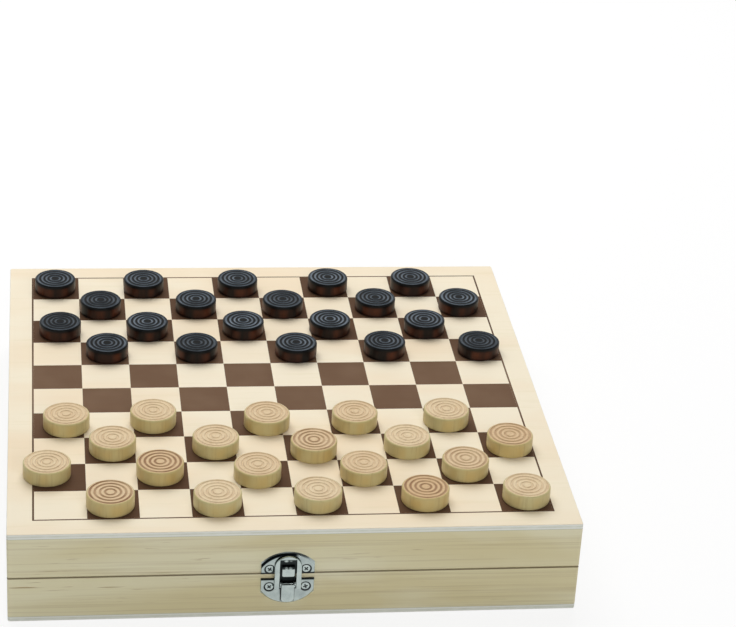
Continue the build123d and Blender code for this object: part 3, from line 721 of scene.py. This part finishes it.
def latch_plate(straight, shoulder, tip, screws, dips, shaded, extra_shade):
    """A pressed plate with a wide rolled rim on its arch, dished round its screws and at its dips, with
    painted shade.
    """
    arch_x = plate_half - plate_arch_inset
    way = math.copysign(1, tip)
    arch_z = abs(shoulder) + plate_arch_rise
    rise = abs(tip) - arch_z
    radius = (arch_x * arch_x + rise * rise) / (2 * rise)
    centre_z = abs(tip) - radius
    columns, rows = plate_grid

    def top(x):
        if abs(x) <= arch_x:
            return centre_z + math.sqrt(radius * radius - x * x)
        beyond = (abs(x) - arch_x) / plate_arch_inset
        return arch_z - 2 * plate_arch_rise * beyond

    def level(x, z):
        height = way * z
        drop = rim_fall(radius - math.hypot(x, height - centre_z))
        drop = max(drop, rolled(plate_half - abs(x), edge_width, edge_drop))
        drop = max(drop, rolled(abs(z - straight), edge_width, edge_drop))
        for screw_x, screw_z in screws:
            reach = math.hypot(x - screw_x, z - screw_z)
            drop = max(drop, dish_drop * soft_step((screw_head + dish_width - reach) / dish_width))
        for dip_x, dip_z, dip_reach, dip_depth in dips:
            reach = math.hypot(x - dip_x, z - dip_z)
            drop = max(drop, dip_depth * soft_step((dip_reach - reach) / dip_slope))
        return plate_sheet - drop

    front, back = [], []
    for row in range(rows + 1):
        share = row / rows
        share = share * (1 + plate_crowding * (1 - share))
        front.append([])
        for column in range(columns + 1):
            x = plate_half * (2 * column / columns - 1)
            z = straight + share * (way * top(x) - straight)
            front[-1].append((x, level(x, z), z))
        back.append([(x, 0, z) for x, out, z in front[-1]])

    # Painted shade in dishes, dips and along the straight edge, a painted dark reflection on the rim, and
    # more given.
    def plate_shade(co):
        rings = [math.hypot(co.x - screw_x, co.z - screw_z) - screw_head for screw_x, screw_z in screws]
        ring = max(soft_step((dish_width - reach) / 0.3) for reach in rings)
        pits = [dip_reach - math.hypot(co.x - dip_x, co.z - dip_z) for dip_x, dip_z, dip_reach, depth in dips]
        pit = max([0.0] + [soft_step((inside - 0.15) / 0.3) for inside in pits])
        edge = 0.95 * soft_step((0.8 + 0.5 * shaded - abs(co.z - straight)) / 0.3)
        rim = radius - math.hypot(co.x, way * co.z - centre_z)
        on_roll = soft_step((rim - 0.3) / 0.2) * soft_step((2.0 - rim) / 0.5)
        crescent = shaded * on_roll * soft_step((6.5 - co.x) / 3)
        return max(0.95 * ring, 0.7 * pit, edge, crescent, extra_shade(co))

    shape = bmesh.new()
    sheet(shape, front, back, plate_shade)
    return shape


def bent_strip(shape, path, half_width, corner_round, painted_shade):
    """A strip of latch sheet bent along (out, z) points, with eased sides and a rounded free end."""
    lengths = [0.0]
    for first, second in zip(path, path[1:]):
        lengths.append(lengths[-1] + math.dist(first, second))
    front, back = [], []
    eased_side = [(0, 0.2), (0.06, 0.09), (0.14, 0.03), (0.26, 0)]
    for number, (out, z) in enumerate(path):
        before, after = path[max(0, number - 1)], path[min(len(path) - 1, number + 1)]
        along = math.dist(before, after)
        normal = ((before[1] - after[1]) / along, (after[0] - before[0]) / along)
        left_over = lengths[-1] - lengths[number]
        cut = 0.0
        if left_over < corner_round:
            cut = corner_round - math.sqrt(corner_round ** 2 - (corner_round - left_over) ** 2)
        width = half_width - cut
        end_drop = 0.2 * rolled(left_over, 0.25, 1.0)
        inner = width - eased_side[-1][0]
        across = [(-width + inset, drop) for inset, drop in eased_side]
        across += [(inner * step / 12, 0) for step in range(-11, 12)]
        across += [(width - inset, drop) for inset, drop in reversed(eased_side)]
        front.append([])
        back.append([])
        for x, drop in across:
            fall = max(drop, end_drop)
            front[-1].append((x, out - normal[0] * fall, z - normal[1] * fall))
            back[-1].append((x, out - normal[0] * latch_sheet, z - normal[1] * latch_sheet))
    sheet(shape, front, back, painted_shade)


def window_recess_shade(co):
    """Painted shade on steel that only shows through the loop's window, and a faint painted shade elsewhere.
    """
    reach = 4.0 + 0.9 * soft_step((co.z + 9.5) / 1.5)
    across = soft_step((reach - abs(co.x)) / 0.5)
    return max(0.1, 0.95 * across * soft_step((co.z + 18.0) / 3.0) * soft_step((9.0 - co.z) / 1.5))


def glint(co, places, reach):
    """1 on small painted highlights and 0 away from them."""
    return max(soft_step((reach - math.hypot(co.x - x, (co.z - z) * 1.6)) / (0.7 * reach)) for x, z in places)


def shaded_sides(half_width, low):
    """Painted shade on a steel sheet's cut sides and lower end."""
    return lambda co: 0.88 * max(
        soft_step((abs(co.x) - half_width + 0.3) / 0.25), soft_step((low + 0.2 - co.z) / 0.25)
    )


def tongue_shade(co):
    """Painted shade on the tongue at its sides, its end and its bend, with two painted highlights on the
    bend.
    """
    bend = 0.9 * soft_step((co.z - 4.5) / 0.4) * (1 - glint(co, [(-1.1, 5.2), (1.0, 5.2)], 1.1))
    return max(shaded_sides(tongue_half, tongue_tip)(co), bend)


def tab_shade(co):
    """Painted shade on the folded tab but for two painted highlights near its fold."""
    dark = 0.95 * soft_step((9.95 - co.z) / 0.3)
    return dark * (1 - glint(co, [(-1.2, 9.1)], 1.4)) * (1 - 0.5 * glint(co, [(1.2, 9.1)], 1.0))


def loop_section(station):
    """Points across the loop's bar, from (x, z) on its inner edge to (x, z) on its outer edge."""
    inner, outer = station
    width = math.dist(inner, outer)
    sides = [(0, 0.42), (0.05, 0.26), (0.14, 0.12), (0.28, 0.03), (0.45, 0)]
    shares = [(inset / width, drop) for inset, drop in sides]
    shares += [(1 - inset / width, drop) for inset, drop in reversed(sides)]
    return [
        (
            inner[0] + (outer[0] - inner[0]) * share,
            loop_inner + latch_sheet - drop,
            inner[1] + (outer[1] - inner[1]) * share,
        )
        for share, drop in shares
    ]


def loop_stations():
    """Inner and outer edge of the loop, up one bar, over its arch and down the other bar."""
    rise = loop_top - loop_shoulder
    radius = (loop_half ** 2 + rise ** 2) / (2 * rise)
    centre = loop_top - radius
    start = math.degrees(math.atan2(loop_shoulder - centre, loop_half))
    bar_steps, arch_steps = 40, 72
    corner_share = 0.42
    stations = []
    for step in range(bar_steps):
        z = loop_end + (loop_shoulder - loop_end) * step / bar_steps
        stations.append(((window_half, z), (loop_half, z)))
    for step in range(arch_steps + 1):
        turn = math.radians(start + (180 - 2 * start) * step / arch_steps)
        outer = (radius * math.cos(turn), centre + radius * math.sin(turn))
        half_way = abs(2 * step / arch_steps - 1)
        if half_way > corner_share:
            climb = (1 - half_way) / (1 - corner_share)
            height = loop_shoulder + (window_top - loop_shoulder) * climb
            inner = (math.copysign(window_half, outer[0]), height)
        else:
            across = window_half * half_way / corner_share
            inner = (math.copysign(across, 1 - 2 * step / arch_steps), window_top)
        stations.append((inner, outer))
    for step in range(1, bar_steps + 1):
        z = loop_shoulder + (loop_end - loop_shoulder) * step / bar_steps
        stations.append(((-window_half, z), (-loop_half, z)))
    return stations


def loop_window_shade(co):
    """Painted shade on the loop along its window."""
    return 0.8 * soft_step((window_half + 0.25 - abs(co.x)) / 0.25) * soft_step((window_top - co.z) / 0.4)


def show_pressed(shape, body, node):
    """Move a pressed part of the latch to its place and show it."""
    name = node + "_pressed"
    show(name, smooth_mesh(fitted(shape), name), nickel, body, "nickel", node)


# The plate on the lid, with the tongue that the loop hangs on.
hook_shape = latch_plate(
    straight=0.2, shoulder=7.4, tip=13.1, screws=hook_screws, dips=[], shaded=1.0, extra_shade=window_recess_shade,
)
bend_centre = (tongue_reach - tongue_round, tongue_shelf - tongue_round)
tongue = [(0.5, tongue_shelf), (1.6, tongue_shelf), (2.8, tongue_shelf)]
tongue += quarter(bend_centre, tongue_round, 90, 0, 10)[1:]
tongue += [(tongue_reach, bend_centre[1] - 4.5 * step / 14) for step in range(1, 15)]
bent_strip(hook_shape, tongue, tongue_half, tongue_round, tongue_shade)
show_pressed(hook_shape, "lid", "latch_hook_plate")

# The plate on the base, with two ears for the lever's pin and a low lug up to the seam.
base_shape = latch_plate(
    straight=-2.9, shoulder=-12.0, tip=-18.4, screws=base_screws, dips=base_dips, shaded=0.0,
    extra_shade=window_recess_shade,
)
lug = [[(x, 0.7 if z < -0.6 else 0.5, z) for x in (-4.1, -2, 0, 2, 4.1)] for z in (-4.0, -3.0, -0.6, -0.15)]
# The lug is painted in shade all over.
sheet(base_shape, lug, [[(x, 0, z) for x, out, z in row] for row in lug], lambda co: 0.95)
ear_edge = [(0.4, lever_pin[1] - ear_radius), (lever_pin[0], lever_pin[1] - ear_radius)]
ear_edge += quarter(lever_pin, ear_radius, -90, 90, 12)[1:] + [(0.4, lever_pin[1] + ear_radius)]
for side in (-1, 1):
    slab(base_shape, [(side * ear_inner, out, z) for out, z in ear_edge], (side * ear_sheet, 0, 0))
show_pressed(base_shape, "base", "latch_base_plate")

# The lever: a bent strip between two flanges that carry both pins.
lever_shape = bmesh.new()
lever_path = [(lever_front, lever_top - 0.55 * step) for step in range(14)]
for step in range(1, 25):
    share = step / 24
    lever_path.append((lever_front - lever_tip_drop * share, lever_bend + (lever_tip - lever_bend) * share))
bent_strip(lever_shape, lever_path, lever_half, lever_corner, shaded_sides(lever_half, -17.0))
flange_edge = quarter(lever_pin, ear_radius, 20, 180, 12) + quarter(loop_pin, eye_radius, 180, 262, 8)
flange_edge += [(3.2, -12.2), (3.9, -12.2), (3.9, -4.8), (3.6, -4.35)]
# The flanges get painted shade.
dark = lever_shape.verts.layers.float["painted_shade"]
for side in (-1, 1):
    flange = [(side * (lever_half - flange_sheet), out, z) for out, z in flange_edge]
    for vert in slab(lever_shape, flange, (side * flange_sheet, 0, 0)):
        vert[dark] = 0.7
show_pressed(lever_shape, "latch_lever", "latch_lever")

# The loop: two bars under a round arch, and the folded tab that rests over the tongue.
loop_shape = bmesh.new()
loop_front = [loop_section(station) for station in loop_stations()]
sheet(loop_shape, loop_front, [[(x, loop_inner, z) for x, out, z in row] for row in loop_front], loop_window_shade)
tab = [(2.9, 10.3), (2.98, 10.0)] + quarter((1.6, 9.6), 1.3, 15, -8, 6)
tab += [(2.88 - 0.62 * step / 10, 9.4 - 3.2 * step / 10) for step in range(1, 11)]
bent_strip(loop_shape, tab, window_half - 0.02, 0.05, tab_shade)
show_pressed(loop_shape, "latch_loop", "latch_loop")


def in_arm(along, across):
    """1 inside an arm of a screw's cross and 0 outside it."""
    long_way, short_way = screw_cross
    return soft_step((long_way - along) / 0.15) * soft_step((short_way - across) / 0.12)


def screw_heads(name, body, places):
    """Cross-head screws of a latch plate: domed heads in its dishes, each cross at its own angle."""
    picked = random.Random(len(name))
    shape = bmesh.new()
    # Painted shade in each cross's recess and on the skirt under each head.
    layer = shape.verts.layers.float.new("painted_shade")
    rings, spokes = 22, 96
    rim_level = plate_sheet - dish_drop + screw_stand
    for middle, level in places:
        turn = picked.uniform(0, math.pi / 2)
        centre = shape.verts.new((middle, rim_level + screw_crown - cross_floor, level))
        centre[layer] = 0.9
        last = None
        for ring in range(1, rings + 1):
            reach = screw_head * math.sqrt(ring / rings) if ring < rings else screw_head
            verts = []
            for spoke in range(spokes):
                angle = math.tau * spoke / spokes
                u, v = reach * math.cos(angle + turn), reach * math.sin(angle + turn)
                arm = max(in_arm(abs(u), abs(v)), in_arm(abs(v), abs(u)))
                dome = screw_crown * (1 - (reach / screw_head) ** 2)
                out = rim_level + dome - cross_sink * arm * (1 - reach / cross_run_out)
                right, up = reach * math.cos(angle), reach * math.sin(angle)
                vert = shape.verts.new((middle + right, out, level + up))
                vert[layer] = 0.9 * arm
                verts.append(vert)
            for spoke in range(spokes):
                if last is None:
                    shape.faces.new((centre, verts[spoke - 1], verts[spoke]))
                else:
                    shape.faces.new((last[spoke - 1], verts[spoke - 1], verts[spoke], last[spoke]))
            last = verts
        skirt = [shape.verts.new((vert.co.x, skirt_out, vert.co.z)) for vert in last]
        for spoke in range(spokes):
            shape.faces.new((last[spoke - 1], skirt[spoke - 1], skirt[spoke], last[spoke]))
        for vert in skirt:
            vert[layer] = 1.0
        shape.faces.new(skirt)
    show(name + "_turned", smooth_mesh(fitted(shape), name), nickel, body, "nickel", name)


screw_heads("latch_screws_lid", "lid", hook_screws)
screw_heads("latch_screws_base", "base", base_screws)

# The hinges and the latch's pins keep the frame's shapes.
hinge_nodes = [name for name in frame["nodes"] if name.startswith("hinge_")]
for node in ["latch_lever_pin", "latch_loop_pin"] + hinge_nodes:
    edge_round = (fine_round if "screws" in node or "pin" in node else leaf_round) * MM
    show(node + "_eased", eased(node, edge_round), nickel, frame["nodes"][node]["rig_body"], "nickel", node)

# ---- chessmen, in millimetres ----
plinth_height = 3.0
stow_gap = 2.5              # wall to the first row, and between the rows
seat_gap = 0.3              # tray's floor to a lying piece
stow_skew = 3.0             # degrees that a piece may lie askew
knight_thickness = 10.0
knight_edge = 1.7
king_slot = 1.2             # width and depth of the saw cuts
chess_count = 8
weld = 0.0005               # points this close are one
level_slack = 0.001         # points this near a height lie on it
cut_slack = 1e-5

# Outlines above the plinth, in shares of the foot's radius and of the height: a pair ends a
# straight line, two pairs are the middle and the end of an arc.
bell = [(0.92, 0.07), ((0.98, 0.1), (0.84, 0.14)), ((0.66, 0.2), (0.6, 0.28))]
twin_collar = [
    (0.54, 0.375), (0.7, 0.39), ((0.79, 0.415), (0.7, 0.437)), (0.66, 0.443),
    (0.7, 0.45), ((0.79, 0.472), (0.7, 0.492)), (0.58, 0.5), ((0.63, 0.515), (0.56, 0.53)),
]
king_outline = bell + twin_collar + [
    ((0.53, 0.6), (0.68, 0.7)), (0.8, 0.745), ((0.85, 0.765), (0.78, 0.782)), (0.42, 0.828),
    ((0.68, 0.9), (0.5, 0.972)), ((0.3, 0.994), (0.12, 1)), (0, 1),
]
queen_outline = bell + twin_collar + [
    ((0.52, 0.61), (0.66, 0.73)), (0.77, 0.79), ((0.82, 0.812), (0.74, 0.832)), (0.26, 0.865),
    ((0.42, 0.93), (0.24, 0.985)), ((0.17, 0.996), (0.09, 1)), (0, 1),
]
bishop_outline = bell + [
    ((0.45, 0.33), (0.42, 0.375)), (0.6, 0.4), ((0.76, 0.43), (0.68, 0.455)),
    ((0.75, 0.48), (0.68, 0.5)), ((0.76, 0.62), (0.42, 0.85)), ((0.5, 0.93), (0.28, 0.985)),
    ((0.19, 0.996), (0.09, 1)), (0, 1),
]
rook_outline = bell + [
    ((0.5, 0.42), (0.5, 0.6)), (0.74, 0.7), (0.78, 0.725), (0.73, 0.745), (0.78, 0.77), (0.8, 0.985),
    (0.78, 1), (0.64, 1), ((0.56, 0.94), (0.36, 0.91)), (0, 0.905),
]
pawn_outline = [
    (0.93, 0.11), ((0.97, 0.17), (0.8, 0.25)), ((0.52, 0.36), (0.48, 0.45)), (0.56, 0.465),
    ((0.7, 0.52), (0.6, 0.575)), (0.54, 0.6), ((0.72, 0.78), (0.42, 0.965)),
    ((0.26, 0.993), (0.1, 1)), (0, 1),
]
knight_base_outline = [(0.92, 0.1), ((0.98, 0.15), (0.84, 0.21)), ((0.7, 0.27), (0.66, 0.33)), (0, 0.33)]
# The knight's head from its left side: forwards in shares of the foot, up in shares of the height.
knight_head = [
    (-0.76, 0.26), (-0.9, 0.4), (-0.95, 0.6), (-0.93, 0.82), (-0.78, 0.96), (-0.5, 0.985), (-0.3, 0.93),
    (0.1, 0.925), (0.5, 0.9), (0.94, 0.86), (0.96, 0.72), (0.72, 0.68), (0.3, 0.66), (0.3, 0.6),
    (0.6, 0.5), (0.84, 0.4), (0.7, 0.26),
]
chess_sizes = {
    "king": (67.0, 10.9, king_outline),
    "queen": (61.5, 10.6, queen_outline),
    "bishop": (54.0, 9.3, bishop_outline),
    "knight": (45.0, 9.0, knight_base_outline),
    "rook": (41.0, 8.8, rook_outline),
    "pawn": (34.0, 8.5, pawn_outline),
}


def arc_through(start, middle, end, steps):
    """Points after start on the arc from start through middle to end."""
    (ax, ay), (bx, by), (cx, cy) = start, middle, end
    twice = 2 * (ax * (by - cy) + bx * (cy - ay) + cx * (ay - by))
    squares = ax * ax + ay * ay, bx * bx + by * by, cx * cx + cy * cy
    ox = (squares[0] * (by - cy) + squares[1] * (cy - ay) + squares[2] * (ay - by)) / twice
    oy = (squares[0] * (cx - bx) + squares[1] * (ax - cx) + squares[2] * (bx - ax)) / twice
    radius = math.hypot(ax - ox, ay - oy)
    first, last = math.atan2(ay - oy, ax - ox), math.atan2(cy - oy, cx - ox)
    sweep = (last - first + math.pi) % math.tau - math.pi
    turns = [first + sweep * step / steps for step in range(1, steps + 1)]
    return [(ox + radius * math.cos(turn), oy + radius * math.sin(turn)) for turn in turns]


def turned_chessman(height, foot, outline):
    """A chessman standing on its foot, in millimetres."""
    plinth_round = plinth_height / 6
    points = [(0, 0), (foot - plinth_round, 0), (foot, plinth_round), (foot, plinth_height)]
    for step in outline:
        if isinstance(step[0], tuple):
            middle, end = [(share * foot, rise * height) for share, rise in step]
            points += arc_through(points[-1], middle, end, 7)
        else:
            points.append((step[0] * foot, step[1] * height))
    return lathe(points)


def knight_shape(height, foot, outline):
    """The knight: a flat carved head with a mouth, on a turned base, in millimetres."""
    shape = turned_chessman(height, foot, outline)
    side = [(x * foot, -knight_thickness / 2, z * height) for x, z in knight_head]
    head = set(slab(shape, side, (0, knight_thickness, 0)))
    edges = [edge for edge in shape.edges if head.issuperset(edge.verts)]
    rims = [edge for edge in edges if abs(edge.verts[0].co.y - edge.verts[1].co.y) < level_slack]
    bmesh.ops.bevel(
        shape, geom=rims, offset=knight_edge, offset_type="OFFSET", affect="EDGES", segments=4,
        profile=0.5, material=-1, clamp_overlap=True,
    )
    bmesh.ops.recalc_face_normals(shape, faces=shape.faces)
    return shape


def part_of(shape, *planes):
    """The closed part of a shape beyond every plane, each given by a point and the way to keep."""
    left = shape.copy()
    for point, keep in planes:
        whole = left.verts[:] + left.edges[:] + left.faces[:]
        bmesh.ops.bisect_plane(
            left, geom=whole, dist=cut_slack, plane_co=point, plane_no=keep, clear_inner=True,
        )
        open_edges = [edge for edge in left.edges if edge.is_boundary]
        bmesh.ops.holes_fill(left, edges=open_edges, sides=0)
    return mesh_of(left, "part")


def king_shape(height, foot, outline):
    """The king, with two saw cuts across the knob on his head."""
    shape = turned_chessman(height, foot, outline)
    half, level = king_slot / 2, height - king_slot
    ways = ((-1, 0), (1, 0), (0, -1), (0, 1))
    walls = {(x, y): ((half * x, half * y, 0), (x, y, 0)) for x, y in ways}
    parts = [part_of(shape, ((0, 0, level), (0, 0, -1)))]
    for x in (-1, 1):
        for y in (-1, 1):
            parts.append(part_of(shape, ((0, 0, level), (0, 0, 1)), walls[x, 0], walls[0, y]))
    shape.clear()
    shape.from_mesh(parts[0])

    def floor_faces():
        on_floor = {vert for vert in shape.verts if abs(vert.co.z - level) < level_slack}
        return [face for face in shape.faces if on_floor.issuperset(face.verts)]

    for point, across in walls.values():
        faces = floor_faces()
        edges = list({edge for face in faces for edge in face.edges})
        verts = list({vert for face in faces for vert in face.verts})
        cut = verts + edges + faces
        bmesh.ops.bisect_plane(shape, geom=cut, dist=cut_slack, plane_co=point, plane_no=across)
    for mesh in parts[1:]:
        shape.from_mesh(mesh)
    for mesh in parts:
        bpy.data.meshes.remove(mesh)
    bmesh.ops.remove_doubles(shape, verts=shape.verts, dist=weld)
    middles = {face: face.calc_center_median() for face in floor_faces()}
    inside = [face for face, middle in middles.items() if min(abs(middle.x), abs(middle.y)) > half]
    bmesh.ops.delete(shape, geom=inside, context="FACES_ONLY")
    bmesh.ops.recalc_face_normals(shape, faces=shape.faces)
    return shape


def resting(kind, x, heading, row_start, skew):
    """Where a chessman lies on the tray's floor, on its plinth and on its widest part above it."""
    height, foot, outline = chess_sizes[kind]
    places = [pair for step in outline for pair in (step if isinstance(step[0], tuple) else [step])]
    places = [(share * foot, rise * height) for share, rise in places]
    if kind == "knight":
        places.append((knight_thickness / 2, height))
    tilt = min(math.atan2(foot - radius, rise - plinth_height) for radius, rise in places)
    floor_level = panel_thickness / MM + seat_gap
    lift = floor_level + foot * math.cos(tilt) + plinth_height * math.sin(tilt)
    y = heading * (row_start + foot * math.sin(tilt))
    turn = math.radians(skew if heading > 0 else 180 + skew)
    lay_down = Matrix.Rotation(-math.pi / 2 - tilt, 4, "X")
    return Matrix.Translation((x, y, lift)) @ Matrix.Rotation(turn, 4, "Z") @ lay_down


def stow_chessmen(colour, heading, material, slot_name):
    """One colour's chessmen in the base tray, each kind in one piece."""
    picked = random.Random(17 + heading)
    lane = 2 * tray_half / MM / chess_count
    back_row = ["rook", "knight", "bishop", "queen", "king", "bishop", "knight", "rook"]
    tallest = max(height for height, foot, outline in chess_sizes.values())
    row_starts = {True: -tray_half / MM + stow_gap, False: -tray_half / MM + 2 * stow_gap + tallest}
    for kind, (height, foot, outline) in chess_sizes.items():
        make = {"knight": knight_shape, "king": king_shape}.get(kind, turned_chessman)
        one = mesh_of(make(height, foot, outline), kind + "_one")
        group = bmesh.new()
        tone, groove, end_grain, wood = wood_marks(group)
        lanes = [lane_number for lane_number in range(chess_count) if kind in ("pawn", back_row[lane_number])]
        for number in lanes:
            own_tone = picked.random()
            shift = Vector((picked.random(), picked.random(), picked.random()))
            verts = add_copy(group, one)
            for vert in verts:
                vert[tone] = own_tone
                vert[groove] = vert[end_grain] = 0.0
                vert[wood] = vert.co * MM + shift
            x = (number - (chess_count - 1) / 2) * lane
            skew = stow_skew * math.sin(2.4 * number + len(kind) + heading)
            lie = resting(kind, x, heading, row_starts[kind != "pawn"], skew)
            bmesh.ops.transform(group, matrix=Matrix.Scale(MM, 4) @ lie, verts=verts)
        bpy.data.meshes.remove(one)
        name = f"{colour}_{kind}" + ("s" if len(lanes) > 1 else "")
        mesh = smooth_mesh(group, name + "_turned")
        show(name + "_turned", mesh, material, f"{colour}_chessmen", slot_name, name)


stow_chessmen("light", 1, pale_chess, "light_boxwood")
stow_chessmen("dark", -1, dark_chess, "dark_wood")

# ---- letters and numbers round the chess board, in millimetres ----
letter_height = 6.2
capital_share = 0.72        # a capital's height as a share of the type's size
letter_width = 0.78         # as a share of the usual width
letter_weight = 0.012
letter_half_depth = 0.1
letter_proud = 0.03
letter_weld = 0.001
chess_square = 32.5
border_middle = (half_side / MM + chess_count * chess_square / 2) / 2


def printed_sign(sign, right, away, turned):
    """One sign on the underside, read with the box's right side nearest."""
    curve = bpy.data.curves.new("sign_" + sign, "FONT")
    curve.body = sign
    curve.align_x = "CENTER"
    curve.align_y = "CENTER"
    curve.size = letter_height / capital_share
    curve.offset = letter_weight
    curve.extrude = letter_half_depth
    drawn = bpy.data.objects.new("sign_" + sign, curve)
    mesh = bpy.data.meshes.new_from_object(drawn)
    bpy.data.objects.remove(drawn)
    bpy.data.curves.remove(curve)
    place = Matrix.Translation((right, away, 0)) @ Matrix.Rotation(math.pi * turned, 4, "Z")
    mesh.transform(place @ Matrix.Diagonal((letter_width, 1, 1, 1)))
    return mesh


signs = bmesh.new()
for number in range(chess_count):
    along = (number - (chess_count - 1) / 2) * chess_square
    for turned in (0, 1):
        edge = border_middle * (1 if turned else -1)
        for sign, right, away in (("ABCDEFGH"[number], along, edge), (str(number + 1), edge, along)):
            mesh = printed_sign(sign, right, away, turned)
            signs.from_mesh(mesh)
            bpy.data.meshes.remove(mesh)
sunk = letter_half_depth * MM - letter_proud * MM
underneath = Matrix(((0, -MM, 0, 0), (-MM, 0, 0, 0), (0, 0, -MM, sunk), (0, 0, 0, 1)))
bmesh.ops.remove_doubles(signs, verts=signs.verts, dist=letter_weld)
bmesh.ops.transform(signs, matrix=underneath, verts=signs.verts)
bmesh.ops.recalc_face_normals(signs, faces=signs.faces)
show("chess_letters", mesh_of(signs, "chess_letters"), printed, "base", "board_print")

# ---- floor, lights and camera ----
floor_half = 6
floor_gap = 0.2 * MM
glow_share = 0.82           # how much of what the camera sees of the floor is its own light
floor_shape = bmesh.new()
bmesh.ops.create_grid(floor_shape, x_segments=1, y_segments=1, size=floor_half)
floor_mesh = mesh_of(floor_shape, "floor")
floor = bpy.data.objects.new("floor", floor_mesh)
bpy.context.scene.collection.objects.link(floor)
floor.location.z = cad_low.z - floor_gap

paper = Finish("floor_paper", Roughness=0.9)
paper.shader.inputs["Base Color"].default_value = tint(232, 232, 232)
rays = paper.add("LightPath").outputs
straight = paper.add("Math", {0: rays["Is Camera Ray"], 1: rays["Is Glossy Ray"]}, operation="MAXIMUM")
share = paper.add("Math", {0: straight.outputs[0], 1: glow_share}, operation="MULTIPLY")
glow = paper.add("Emission", {"Color": (1, 1, 1, 1), "Strength": 1.04})
lit = paper.add("MixShader", {0: share.outputs[0], 1: paper.shader.outputs[0], 2: glow.outputs[0]})
paper.surface(lit.outputs[0], "Material")
floor_mesh.materials.append(paper.material)

# Soft light all round, a banded sky that only polished metal mirrors, and white behind it all.
sky = bpy.data.worlds.new("studio")
bpy.context.scene.world = sky
sky.use_nodes = True
air = Graph(sky.node_tree)
soft = air.tree.nodes["Background"]
soft.inputs["Color"].default_value = (1.0, 0.99, 0.97, 1)
soft.inputs["Strength"].default_value = 0.27
upward = air.add("SeparateXYZ", {0: air.add("TexCoord").outputs["Generated"]}).outputs["Z"]
bands = air.steps(upward, (0.0, 1.0), (0.42, 0.92), (0.485, 0.1), (0.9, 0.08), (0.95, 1.0))
mirrored = air.add("Background", {"Color": bands})
plain = air.add("Background", {"Color": (1, 1, 1, 1)})
rays = air.add("LightPath").outputs
in_metal = air.add("MixShader", {0: rays["Is Glossy Ray"], 1: soft.outputs[0], 2: mirrored.outputs[0]})
behind = air.add("MixShader", {0: rays["Is Camera Ray"], 1: in_metal.outputs[0], 2: plain.outputs[0]})
air.surface(behind.outputs[0], "World")


def soft_box(name, place, size, watts, mirrored_too=False):
    """A square area lamp that faces the middle of the board, seen in polished metal or not."""
    lamp = bpy.data.lights.new(name, "AREA")
    lamp.shape = "SQUARE"
    lamp.size = size
    lamp.energy = watts
    holder = bpy.data.objects.new(name, lamp)
    bpy.context.scene.collection.objects.link(holder)
    holder.location = place
    holder.visible_glossy = mirrored_too
    holder.rotation_mode = "QUATERNION"
    holder.rotation_quaternion = (Vector((0, 0, seam)) - Vector(place)).to_track_quat("-Z", "Y")


soft_box("overhead_soft_box", (-0.1, 0.8, 1.35), 1.3, 21)
soft_box("front_soft_box", (0.3, -1.6, 1.0), 1.2, 7)
soft_box("small_front_lamp", (0.5, -1.3, 0.84), 0.16, 0.8, True)

camera_place = Vector((-0.13071, -1.21824, 0.74662))
camera_aim = Vector((0.06382, 0.08686, 0.053))
camera_roll = math.radians(3.517)
camera = bpy.data.objects.new("camera", bpy.data.cameras.new("camera"))
bpy.context.scene.collection.objects.link(camera)
camera.data.lens = 121.55
camera.data.sensor_width = 36
camera.location = camera_place
camera.rotation_mode = "QUATERNION"
look = (camera_aim - camera_place).to_track_quat("-Z", "Y")
camera.rotation_quaternion = look @ Matrix.Rotation(camera_roll, 3, "Z").to_quaternion()
bpy.context.scene.camera = camera
bpy.context.scene.view_settings.view_transform = "Standard"
